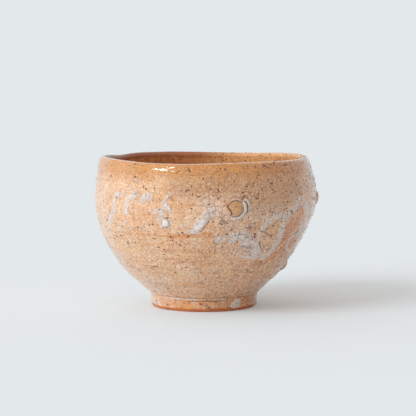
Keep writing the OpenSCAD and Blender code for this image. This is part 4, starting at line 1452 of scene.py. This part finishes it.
@dataclass
class Coats:
    """The glaze: a thick coat outside, a glossy one inside, and a thin end of the dip on the foot."""

    form: BowlForm
    wall: GlazedWall  # the glazed outside, on which the marks lie
    line_z: float = 1.8  # height of the line on the foot where the glaze stops
    line_t: float = 0.2  # thickness of the glaze at that line
    foot_t: float = 0.35  # thickness of the glaze at the foot's top
    waver: float = 0.45  # how far that line wavers up and down
    bead_t: float = 0.12  # thickness of the bead along that line
    crevice_depth: float = 0.3  # depth of the open crevices
    calm: float = 0.6  # share of the relief that fingers take off the lip
    calm_from: float = 71.0  # height at which they begin to
    calm_to: float = 76.0  # height at which they have
    white_z: float = 6.9  # height of the painted highlight line along the foot's upper edge
    white_h: float = 0.4  # half its height
    shadow_line_z: float = 6.0  # height of the painted shadow line under it
    shadow_line_h: float = 0.3  # half its height
    haze: float = 0.38  # strength of the painted sheen on the lit left of the foot

    # Rings and columns of each coat, and rings of the seat under it
    OUTER_GRID = (150, 560)
    INNER_GRID = (130, 420)
    FOOT_GRID = (40, 420)
    SEAT_RINGS = 24

    @staticmethod
    def seated(line: Array, way: Array, seat: Array, angle: Array, marks: Marks) -> Skin:
        """Closes a coat with the seat that it has on the clay.

        Args:
            line: the coat's profile, or its rings where they differ round the bowl.
            way: the way out of the profile.
            seat: profile of the clay under it, from its first row to its last.
            angle: angles of the columns.
            marks: values by ring and column of the coat.

        Returns:
            The closed coat, with the mark "seen" where it isn't its seat.
        """
        rings = line if line.ndim == 3 else spun(line, angle)
        hidden = np.zeros((len(seat), angle.size))
        shown = dict(marks) | {"seen": np.ones(rings.shape[:2])}
        return ring_skin(
            np.concatenate((rings, spun(seat[::-1], angle))),
            np.concatenate((spun(way, angle), spun(outward(seat)[::-1], angle))),
            Ends.JOINED,
            len(rings),
            {name: np.concatenate((values, hidden)) for name, values in shown.items()},
        )

    def lip_relief(self, z: Array) -> Array:
        """Share of the relief that is left at a height, because fingers smooth the lip."""
        return 1 - self.calm * smooth(z, self.calm_from, self.calm_to)

    @staticmethod
    def crest(way: Array, angle: Array) -> Array:
        """Finds the lip's crest, where a coat faces up, and how strong the painted highlight on it is round
        the bowl.

        Args:
            way: the way out of the coat's profile.
            angle: angles of the columns.

        Returns:
            The painted highlight by ring and column: full in front, half at the back right and none at the
                back left.
        """
        turn = np.radians(angle)
        front = smooth(-np.sin(turn), -0.35, 0.25)
        right = smooth(np.cos(turn), 0.1, 0.7)
        return smooth(way[:, 1:], 0.72, 0.9) * (front + (1 - front) * 0.5 * right)

    def outer(self) -> Skin:
        """Skins the coat outside.

        Returns:
            The coat, with its marks, from the foot's seam to the lip's crest.
        """
        fine, (count, around) = self.form.outside(), self.OUTER_GRID
        # The rings lie closer together at the lip and at the foot.
        crowd = 1 + 2.0 * smooth(fine[:, 1], 75.5, 78) + 2 * (1 - smooth(fine[:, 1], 8, 10.5))
        clay = respaced(fine, count, crowd)
        way, angle = outward(clay), columns(around, Spread.FINE_IN_FRONT)
        line = clay + self.form.outer_coat_t(clay[:, 1])[:, None] * way
        z = line[:, 1:]
        marks = read_marks(self.wall, angle, z)
        rings = spun(line, angle) - self.crevice_depth * marks["crevice"][..., None] * spun(way, angle)
        marks["relief"] = np.broadcast_to(smooth(z, 7, 11) * self.lip_relief(z), rings.shape[:2])
        # Painted highlight along the lip's crest
        marks["crest"] = self.crest(way, angle)
        return self.seated(rings, way, respaced(fine, self.SEAT_RINGS), angle, marks)

    def inner(self) -> Skin:
        """Skins the coat inside.

        Returns:
            The coat from the lip's crest to the floor's middle.
        """
        fine, (count, around) = self.form.inside(), self.INNER_GRID
        clay = respaced(fine, count, 1 + 2.5 * smooth(fine[:, 1], 75, 77.5))
        way, angle, z = outward(clay), columns(around, Spread.EVEN), clay[:, 1:]
        # At the crest the coat is as thick as the one outside, which it meets there.
        thinned = smooth(np.arange(count), 0, 8)
        coat = self.form.outer_t + (self.form.inner_t - self.form.outer_t) * thinned
        left, lip = -np.cos(np.radians(angle)), smooth(z, 77, 80.5)
        marks = {
            "relief": np.broadcast_to(self.lip_relief(z), (count, around)),
            # Painted highlight along the crest, as outside
            "crest": self.crest(way, angle) * smooth(z, 70, 74),
            # Painted shade: the glaze is browner on the left, where the inside wall is shaded, most of all
            # at the lip; it is also browner at the lip all round.
            "rust": 0.62 * smooth(left, -0.7, 0.15) + lip * (0.26 + 0.15 * left),
        }
        return self.seated(clay + coat[:, None] * way, way, respaced(fine, self.SEAT_RINGS), angle, marks)

    def foot(self) -> Skin:
        """Skins the thin coat on the foot.

        Returns:
            The coat, whose lower line wavers.
        """
        count, around = self.FOOT_GRID
        angle = columns(around, Spread.FINE_IN_FRONT)
        # The line's wavering is read from the noise on a circle of about the foot's size.
        circle = spun(np.array([[28.0, 0.0]]), angle)
        low = self.line_z + self.waver * (swirl(circle, 7.0, 51) + 0.5 * swirl(circle, 2.2, 52))
        share = np.linspace(0, 1, count)[:, None]
        z = low + (self.form.foot_h - low) * share
        clay = self.form.foot_side(z)
        bead = self.bead_t * bell(share, 0.06, 0.07)
        coat = (self.line_t + (self.foot_t - self.line_t) * share) * smooth(share, -0.02, 0.05) + bead
        rings = turned(clay + coat, z, angle)
        out = turned(np.ones_like(z), np.zeros_like(z), angle)
        rings = rings + (0.1 * swirl(rings, 3.0, 53) * smooth(share, 0.05, 0.2))[..., None] * out
        # The seat is every eighth ring from the top down, sunk a little in the clay.
        seat = turned(clay[::-8] - 0.05, z[::-8], angle)
        seen = np.concatenate((np.ones(z.shape), np.zeros(seat.shape[:2])))
        height = np.concatenate((z, z[: len(seat)]))
        # The painted highlight line runs across the front, and the painted shadow line under it only along
        # its right half.
        front = smooth(angle, 208, 216) * (1 - smooth(angle, 288, 298))
        white = 0.75 * front * bell(height, self.white_z, self.white_h)
        dark = 0.8 * smooth(angle, 246, 256) * front * bell(height, self.shadow_line_z, self.shadow_line_h)
        # Painted sheen on the lit left of the foot, laid in the slip mark
        haze = self.haze * (1 - smooth(angle, 215, 245)) * seen
        marks = {
            "relief": np.zeros_like(seen), "seen": seen, "slip": np.maximum(white, haze), "crevice": dark
        }
        out = np.concatenate((out, out[: len(seat)]))
        return ring_skin(np.concatenate((rings, seat)), out, Ends.JOINED, len(rings), marks)

    def make(self, shop: Workshop) -> dict[str, Object]:
        """Makes the three coats and puts them in place.

        Args:
            shop: the workshop.

        Returns:
            The coats by their CAD node, for the iron specks to lie on.
        """
        coats = {
            "outer_glaze": shop.throw(self.outer(), "outer_coat", OUTER_GLAZE.build()),
            "inner_glaze": shop.throw(self.inner(), "inner_coat", INNER_GLAZE.build()),
            "foot_glaze": shop.throw(self.foot(), "foot_coat", FOOT_GLAZE.build()),
        }
        for node, coat in coats.items():
            shop.place(coat, SLOT_OF_COAT[node], node)
        return coats


@dataclass(frozen=True)
class Pad:
    """A round domed pad on the wall."""

    place: Place  # angle and height of its middle
    radius: float
    lift: float  # its height
    steep: float  # how steep its sides are
    rust: float  # how rusty its middle is, partly as painted shade
    seed: int  # which unevenness

    def skin(self, wall: GlazedWall) -> Skin:
        """Lays the pad on the wall.

        Args:
            wall: the wall.

        Returns:
            The closed skin.
        """
        # Two rings under the pad, sunk in the glaze, then its rings from the border in to the middle
        reach = np.concatenate(([0.5, 0.92], np.sin(np.linspace(0.5, 0.02, 20) * math.pi)))
        clock = np.linspace(0, 2 * math.pi, 72, endpoint=False)
        ring = np.column_stack((np.cos(clock), np.sin(clock), np.full(clock.size, float(self.seed))))
        # Its outline is slightly lobed.
        lobes = 1 + 0.07 * swirl(ring, 0.9, self.seed) + 0.035 * swirl(ring, 0.35, self.seed + 1)
        r = self.radius * reach[:, None] * lobes[None, :]
        angle, z = wall.beside(self.place, r * np.cos(clock), r * np.sin(clock))
        # The steeper its sides are, the flatter is its middle.
        crown = np.clip(1 - reach**self.steep, 0, 1)[:, None] ** (2.4 / self.steep)
        height = self.lift * crown * np.ones_like(r)
        height[0], height[1] = -0.2, -0.15
        height[3:] *= 1 + 0.12 * swirl(wall.at(angle, z, 0.0)[3:], 2.6, self.seed + 2)
        marks = read_marks(wall, angle, z) | {"relief": np.ones(r.shape)}
        # A rusty crown; on the side pellets it is dark enough to be partly painted shade
        marks["rust"] = np.maximum(marks["rust"], self.rust * (1 - reach[:, None] ** 4))
        marks["slip"] = marks["slip"] * (1 - self.rust)
        return ring_skin(wall.at(angle, z, height), wall.way_out(angle, z), Ends.POLES, len(reach), marks)


# Pellets by their CAD node: the one in front is flat, and the two on the right outline are domed and rusty.
# The side pellets' rust is partly painted shade.
PELLETS = {
    "pellet_front": Pad(FRONT_PELLET, 4.15, 0.9, 4.0, 0.1, 71),
    "pellet_side": Pad((355.0, 59.3), 4.4, 1.3, 1.9, 0.85, 72),
    "pellet_low": Pad((355.0, 22.0), 4.3, 1.3, 1.8, 0.8, 73),
}


@dataclass
class SlipMarks:
    """White slip that was trailed on the outside and melted into the glaze."""

    form: BowlForm
    wall: GlazedWall
    drop_pad: Pad = Pad((249.9, 50.5), 2.05, 1.2, 3.2, 0.0, 24)  # the raised drop
    spot_angle: float = 306.8  # angle of the spot on the foot
    spot_w: float = 8.0
    spot_low: float = 1.4  # height of its lower end
    spot_high: float = 7.1  # height of its upper end
    spot_lift: float = 0.6  # height of that spot
    spot_lean: float = 0.8  # how far its upper end leans to the right

    def drop(self) -> Skin:
        """Skins the raised drop and the short tail under it."""
        return Skin.joined([part.skin(self.wall) for part in (self.drop_pad, DROP_STROKES[1])])

    def foot_spot(self) -> Skin:
        """Skins the white spot on the foot.

        Returns:
            The spot, narrower at its top.
        """
        u, v = np.meshgrid(np.linspace(-1, 1, 30), np.linspace(-1, 1, 26))
        # Each side wavers in its own way, the ends are round and the top is narrower.
        edge = np.column_stack((np.linspace(0, 9, 26), np.zeros(26), np.zeros(26)))
        sides = np.array([1 + 0.4 * swirl(edge + [0, 20 * k, 0], 2.0, 61) for k in (0, 1)])
        width = self.spot_w / 2 * np.clip(1.02 - v**4, 0, 1) ** 0.5 * (0.85 - 0.3 * v)
        across = u * width * np.where(u < 0, sides[0][:, None], sides[1][:, None]) + self.spot_lean * v
        z = (self.spot_low + self.spot_high) / 2 + v * (self.spot_high - self.spot_low) / 2
        hump = np.clip(1 - np.abs(u) ** 3, 0, 1) * np.clip(1 - np.abs(v) ** 4, 0, 1)
        clay = self.form.foot_side(z)
        angle = self.spot_angle + np.degrees(across / clay)
        out = turned(np.ones_like(z), np.zeros_like(z), angle)
        top = turned(clay + 0.1 + self.spot_lift * hump, z, angle)
        marks = {"slip": smooth(hump, 0, 0.4), "relief": np.zeros_like(z)}
        return plate_skin(top, turned(clay - 0.05, z, angle), out, marks)

    def make(self, shop: Workshop) -> None:
        """Makes every mark and puts it in place.

        Args:
            shop: the workshop.
        """
        material = SLIP_GLAZE.build()
        skins = {
            name: Skin.joined([stroke.skin(self.wall) for stroke in strokes])
            for name, strokes in SLIP_STROKES.items()
        }
        for name, skin in (skins | {"drop": self.drop(), "foot_spot": self.foot_spot()}).items():
            shop.place(shop.throw(skin, f"white_{name}", material), "slip", f"slip_{name}")


@dataclass
class Pellets:
    """Small flattened balls of clay, pressed on before the dip."""

    wall: GlazedWall
    pads: Mapping[str, Pad]  # the pellets by their CAD node

    def make(self, shop: Workshop) -> None:
        """Makes each pellet and puts it in place.

        Args:
            shop: the workshop.
        """
        material = PELLET_GLAZE.build()
        for node, pad in self.pads.items():
            shop.place(shop.throw(pad.skin(self.wall), f"clay_{node}", material), "pellet", node)


@dataclass
class IronSpecks:
    """Iron grains scattered over the coats by a Geometry Nodes tree."""

    density: float = 250000.0  # grains on a square metre
    smallest: float = 0.16  # radius of the smallest grain
    largest: float = 0.58  # radius of the largest grain
    flatness: float = 0.25  # height of a grain as a share of its radius
    cluster: float = 12.0  # width of the clusters that they lie in
    skew: float = 3.8  # how much thicker they lie towards the right, for each metre
    seed: int = 5  # which scatter

    def inputs(self, number: int) -> dict[str, float]:
        """Works out the tree's named inputs.

        Args:
            number: which of the coats the grains lie on.

        Returns:
            Each input by name, lengths in metres.
        """
        unit = {"smallest": MM, "largest": MM, "cluster": MM}
        sizes = asdict(self) | {"seed": self.seed + number}
        return {name.title(): size * unit.get(name, 1) for name, size in sizes.items()}

    def tree(self) -> NodeTree:
        """Builds the scatter, which keeps to faces with the mark "seen".

        Returns:
            The tree.
        """
        tree, given = node_group("iron_scatter", self.inputs(0))
        seen = add(tree, "GeometryNodeInputNamedAttribute", {"Name": "seen"}, data_type="FLOAT").outputs[0]
        half = {0: seen, 1: 0.5}
        chosen = add(tree, "FunctionNodeCompare", half, data_type="FLOAT", operation="GREATER_THAN")
        # The grains lie in clusters, with few between them, and thicker to the right.
        scale = add(tree, "ShaderNodeMath", {0: 1.0, 1: given["Cluster"]}, operation="DIVIDE")
        thick = add(tree, "ShaderNodeTexNoise", {"Scale": scale, "Detail": 2.0}).outputs[0]
        right = add(tree, "ShaderNodeSeparateXYZ", {0: add(tree, "GeometryNodeInputPosition")}).outputs["X"]
        skewed = {0: right, 1: given["Skew"], 2: thick}
        thick = add(tree, "ShaderNodeMath", skewed, operation="MULTIPLY_ADD")
        bounds = {"Value": thick, "From Min": 0.38, "From Max": 0.72, "To Min": 0.15, "To Max": 1.0}
        thick = add(tree, "ShaderNodeMapRange", bounds)
        density = add(tree, "ShaderNodeMath", {0: thick, 1: given["Density"]}, operation="MULTIPLY")
        spread = {"Mesh": given["Geometry"], "Selection": chosen, "Density": density, "Seed": given["Seed"]}
        points = add(tree, "GeometryNodeDistributePointsOnFaces", spread, distribute_method="RANDOM")
        # Small grains are more common than large ones, so the random share is squared.
        chance = add(tree, "FunctionNodeRandomValue", {"Seed": given["Seed"]}, data_type="FLOAT")
        rare = add(tree, "ShaderNodeMath", {0: chance, 1: 2.0}, operation="POWER")
        sizes = {"Value": rare, "To Min": given["Smallest"], "To Max": given["Largest"]}
        size = add(tree, "ShaderNodeMapRange", sizes)
        drawn = {"Min": (0.8, 0.6, 1.0), "Max": (1.6, 1.0, 1.0), "Seed": given["Seed"]}
        shape = add(tree, "FunctionNodeRandomValue", drawn, data_type="FLOAT_VECTOR")
        squash = add(tree, "ShaderNodeCombineXYZ", {0: 1.0, 1: 1.0, 2: given["Flatness"]})
        shape = add(tree, "ShaderNodeVectorMath", {0: shape, 1: squash}, operation="MULTIPLY")
        extent = add(tree, "ShaderNodeVectorMath", {0: shape, "Scale": size}, operation="SCALE")
        turns = {"Max": 2 * math.pi, "Seed": given["Seed"]}
        turn = add(tree, "FunctionNodeRandomValue", turns, data_type="FLOAT")
        spin = add(tree, "ShaderNodeCombineXYZ", {2: turn})
        lie = add(tree, "FunctionNodeRotateEuler", {0: points.outputs["Rotation"], 1: spin}, space="LOCAL")
        grain = add(tree, "GeometryNodeMeshIcoSphere", {"Radius": 1.0, "Subdivisions": 1}).outputs["Mesh"]
        lay = {"Points": points.outputs["Points"], "Instance": grain, "Rotation": lie, "Scale": extent}
        laid = add(tree, "GeometryNodeInstanceOnPoints", lay)
        real = add(tree, "GeometryNodeRealizeInstances", {"Geometry": laid})
        soft = add(tree, "GeometryNodeSetShadeSmooth", {"Geometry": real})
        dressed = add(tree, "GeometryNodeSetMaterial", {"Geometry": soft, "Material": given["Material"]})
        add(tree, "NodeGroupOutput", {"Geometry": dressed})
        return tree

    def make(self, shop: Workshop, coats: Mapping[str, Object]) -> None:
        """Scatters the grains over each coat and puts them in place.

        Args:
            shop: the workshop.
            coats: the glaze coats by their CAD node.
        """
        tree, material = self.tree(), IRON.build()
        for number, (node, coat) in enumerate(coats.items()):
            sizes = self.inputs(number) | {"Material": material}
            piece = shop.through(coat.data.copy(), tree, sizes, f"iron_specks_{coat.name}")
            shop.place(piece, SLOT_OF_COAT[node])


def picture_rays(tree: NodeTree) -> NodeSocket:
    """Tells the rays that show a surface from those that light it.

    Args:
        tree: the node tree.

    Returns:
        1 for a ray from the camera, from a reflection or through glass, and 0 for any other.
    """
    path = add(tree, "ShaderNodeLightPath").outputs
    seen = path["Is Camera Ray"]
    for ray in ("Is Glossy Ray", "Is Transmission Ray"):
        seen = add(tree, "ShaderNodeMath", {0: seen, 1: path[ray]}, operation="MAXIMUM").outputs[0]
    return seen


@dataclass
class Studio:
    """Pale paper floor, soft light that is stronger from the left, and the camera."""

    paper: str = "#e5eef3"
    paper_half: float = 400.0  # half the floor's width in metres
    paper_glow: float = 0.22  # share by which the paper looks lit from behind, which keeps its shadow light
    distance: str = "#e5edf0"  # colour past the end of the paper
    fill: float = 0.77  # strength of the light from all round
    slant: float = 0.56  # how far that light is weaker on its dim side and stronger on the other
    cool: str = "#f2faff"  # colour of the light from the bright side
    warm: str = "#ffdbc0"  # colour of the light from the dim side
    # Direction of the dim side, to the right and a little in front
    dim_side: tuple[float, float, float] = (1.0, -0.3, 0.0)
    key: float = 1.82  # strength of the wide soft light from the left
    key_colour: str = "#f3f9ff"
    key_width: float = 34.0  # how wide it looks from the bowl
    # Strength of the window that glints on the lip, for each square metre of its panes
    window: float = 95.0
    window_away: float = 1.5  # its distance in metres
    pane_height: float = 0.02  # height of a pane in metres
    # How far each pane stands to the right, and its width, in metres
    panes: tuple[tuple[float, float], ...] = ((-0.1, 0.2), (0.26, 0.42))
    key_way: tuple[float, float] = (214.0, 30.0)  # where the wide light stands, round from +X and up
    window_way: tuple[float, float] = (214.0, 38.0)  # where the window stands
    eye: tuple[float, float, float] = (0.002151, -1.18787, 0.16756)  # place of the camera in metres
    pitch: float = 0.096071  # how far the camera looks down, in radians
    lens: float = 190.25  # focal length on a 36 mm sensor

    def floor(self) -> None:
        """Lays the paper flat, far enough that its end is out of sight."""
        half = self.paper_half
        mesh = bpy.data.meshes.new("paper_floor")
        mesh.from_pydata([(x, y, 0.0) for y in (-half, half) for x in (-half, half)], [], [[0, 1, 3, 2]])
        # Matt drawing paper: even, with no visible texture at this distance
        material, tree, shader = bare_material("matt_paper")
        shader.inputs["Base Color"].default_value = linear(self.paper)
        shader.inputs["Roughness"].default_value = 0.9
        shader.inputs["Specular IOR Level"].default_value = 0.0
        shares = {0: picture_rays(tree), 1: self.paper_glow}
        share = add(tree, "ShaderNodeMath", shares, operation="MULTIPLY")
        glow = add(tree, "ShaderNodeEmission", {"Color": linear(self.paper), "Strength": 1.0})
        seen = add(tree, "ShaderNodeMixShader", {0: share, 1: shader, 2: glow})
        tree.links.new(seen.outputs[0], tree.nodes["Material Output"].inputs["Surface"])
        mesh.materials.append(material)
        paper = bpy.data.objects.new("paper_floor", mesh)
        bpy.context.scene.collection.objects.link(paper)

    def world(self) -> None:
        """Lights the bowl from all round, while the camera and reflections see the pale distance."""
        world = bpy.data.worlds.new("studio")
        world.use_nodes = True
        tree = world.node_tree
        tree.nodes.clear()
        seen = picture_rays(tree)
        ways = {0: add(tree, "ShaderNodeTexCoord").outputs["Generated"], 1: self.dim_side}
        side = add(tree, "ShaderNodeVectorMath", ways, operation="DOT_PRODUCT").outputs["Value"]
        left, right = self.fill * (1 + self.slant), self.fill * (1 - self.slant)
        fill = {"Value": side, "From Min": -1.0, "From Max": 1.0, "To Min": left, "To Max": right}
        strength = {0: seen, 2: add(tree, "ShaderNodeMapRange", fill), 3: 1.0}
        dim = add(tree, "ShaderNodeMapRange", {"Value": side, "From Min": -1.0, "From Max": 1.0})
        tint = {"Factor": dim, "A": linear(self.cool), "B": linear(self.warm)}
        tint = add(tree, "ShaderNodeMix", tint, data_type="RGBA")
        colour = {"Factor": seen, "A": tint, "B": linear(self.distance)}
        glow = {
            "Color": add(tree, "ShaderNodeMix", colour, data_type="RGBA"),
            "Strength": add(tree, "ShaderNodeMix", strength, data_type="FLOAT"),
        }
        add(tree, "ShaderNodeOutputWorld", {"Surface": add(tree, "ShaderNodeBackground", glow)})
        bpy.context.scene.world = world

    def lamps(self) -> None:
        """Sets a wide soft light on the left, and the panes of a window that glint on the lip."""
        soft = bpy.data.lights.new("soft_key", "SUN")
        soft.energy = self.key
        soft.angle = math.radians(self.key_width)
        soft.color = linear(self.key_colour)[:3]
        stands = [(soft, self.key_way, 0.0)]
        for aside, width in self.panes:
            pane = bpy.data.lights.new("window_pane", "AREA")
            pane.shape, pane.size, pane.size_y = "RECTANGLE", width, self.pane_height
            pane.energy = self.window * width * self.pane_height
            stands.append((pane, self.window_way, aside))
        for lamp, stand, aside in stands:
            turn, up = np.radians(stand)
            way = np.array([math.cos(up) * math.cos(turn), math.cos(up) * math.sin(turn), math.sin(up)])
            across = np.array([-math.sin(turn), math.cos(turn), 0.0])
            light = bpy.data.objects.new(lamp.name, lamp)
            light.location = (way * self.window_away + across * aside).tolist()
            light.rotation_euler = (math.pi / 2 - up, 0, turn + math.pi / 2)
            # The wide light only shades the bowl and the window only glints on it.
            light.visible_diffuse = lamp is soft
            light.visible_glossy = lamp is not soft
            bpy.context.scene.collection.objects.link(light)

    def camera(self) -> None:
        """Sets the camera at the photograph's viewing angle."""
        data = bpy.data.cameras.new("camera")
        data.sensor_width, data.lens, data.clip_end = 36.0, self.lens, 2 * self.paper_half
        camera = bpy.data.objects.new("camera", data)
        camera.location = self.eye
        camera.rotation_euler = (math.pi / 2 - self.pitch, 0, 0)
        bpy.context.scene.collection.objects.link(camera)
        bpy.context.scene.camera = camera
        bpy.context.scene.view_settings.view_transform = "Standard"

    def make(self) -> None:
        """Sets up the studio."""
        for step in (self.floor, self.world, self.lamps, self.camera):
            step()


def main() -> None:
    """Builds the bowl piece by piece, then its studio."""
    logging.basicConfig(level=logging.INFO, format="%(message)s")
    form = BowlForm.from_frame()
    wall = GlazedWall(form)
    shop = Workshop(form, HandThrowing())
    Body(form).make(shop)
    coats = Coats(form, wall).make(shop)
    SlipMarks(form, wall).make(shop)
    Pellets(wall, PELLETS).make(shop)
    IronSpecks().make(shop, coats)
    Studio().make()


if __name__ == "__main__":
    main()
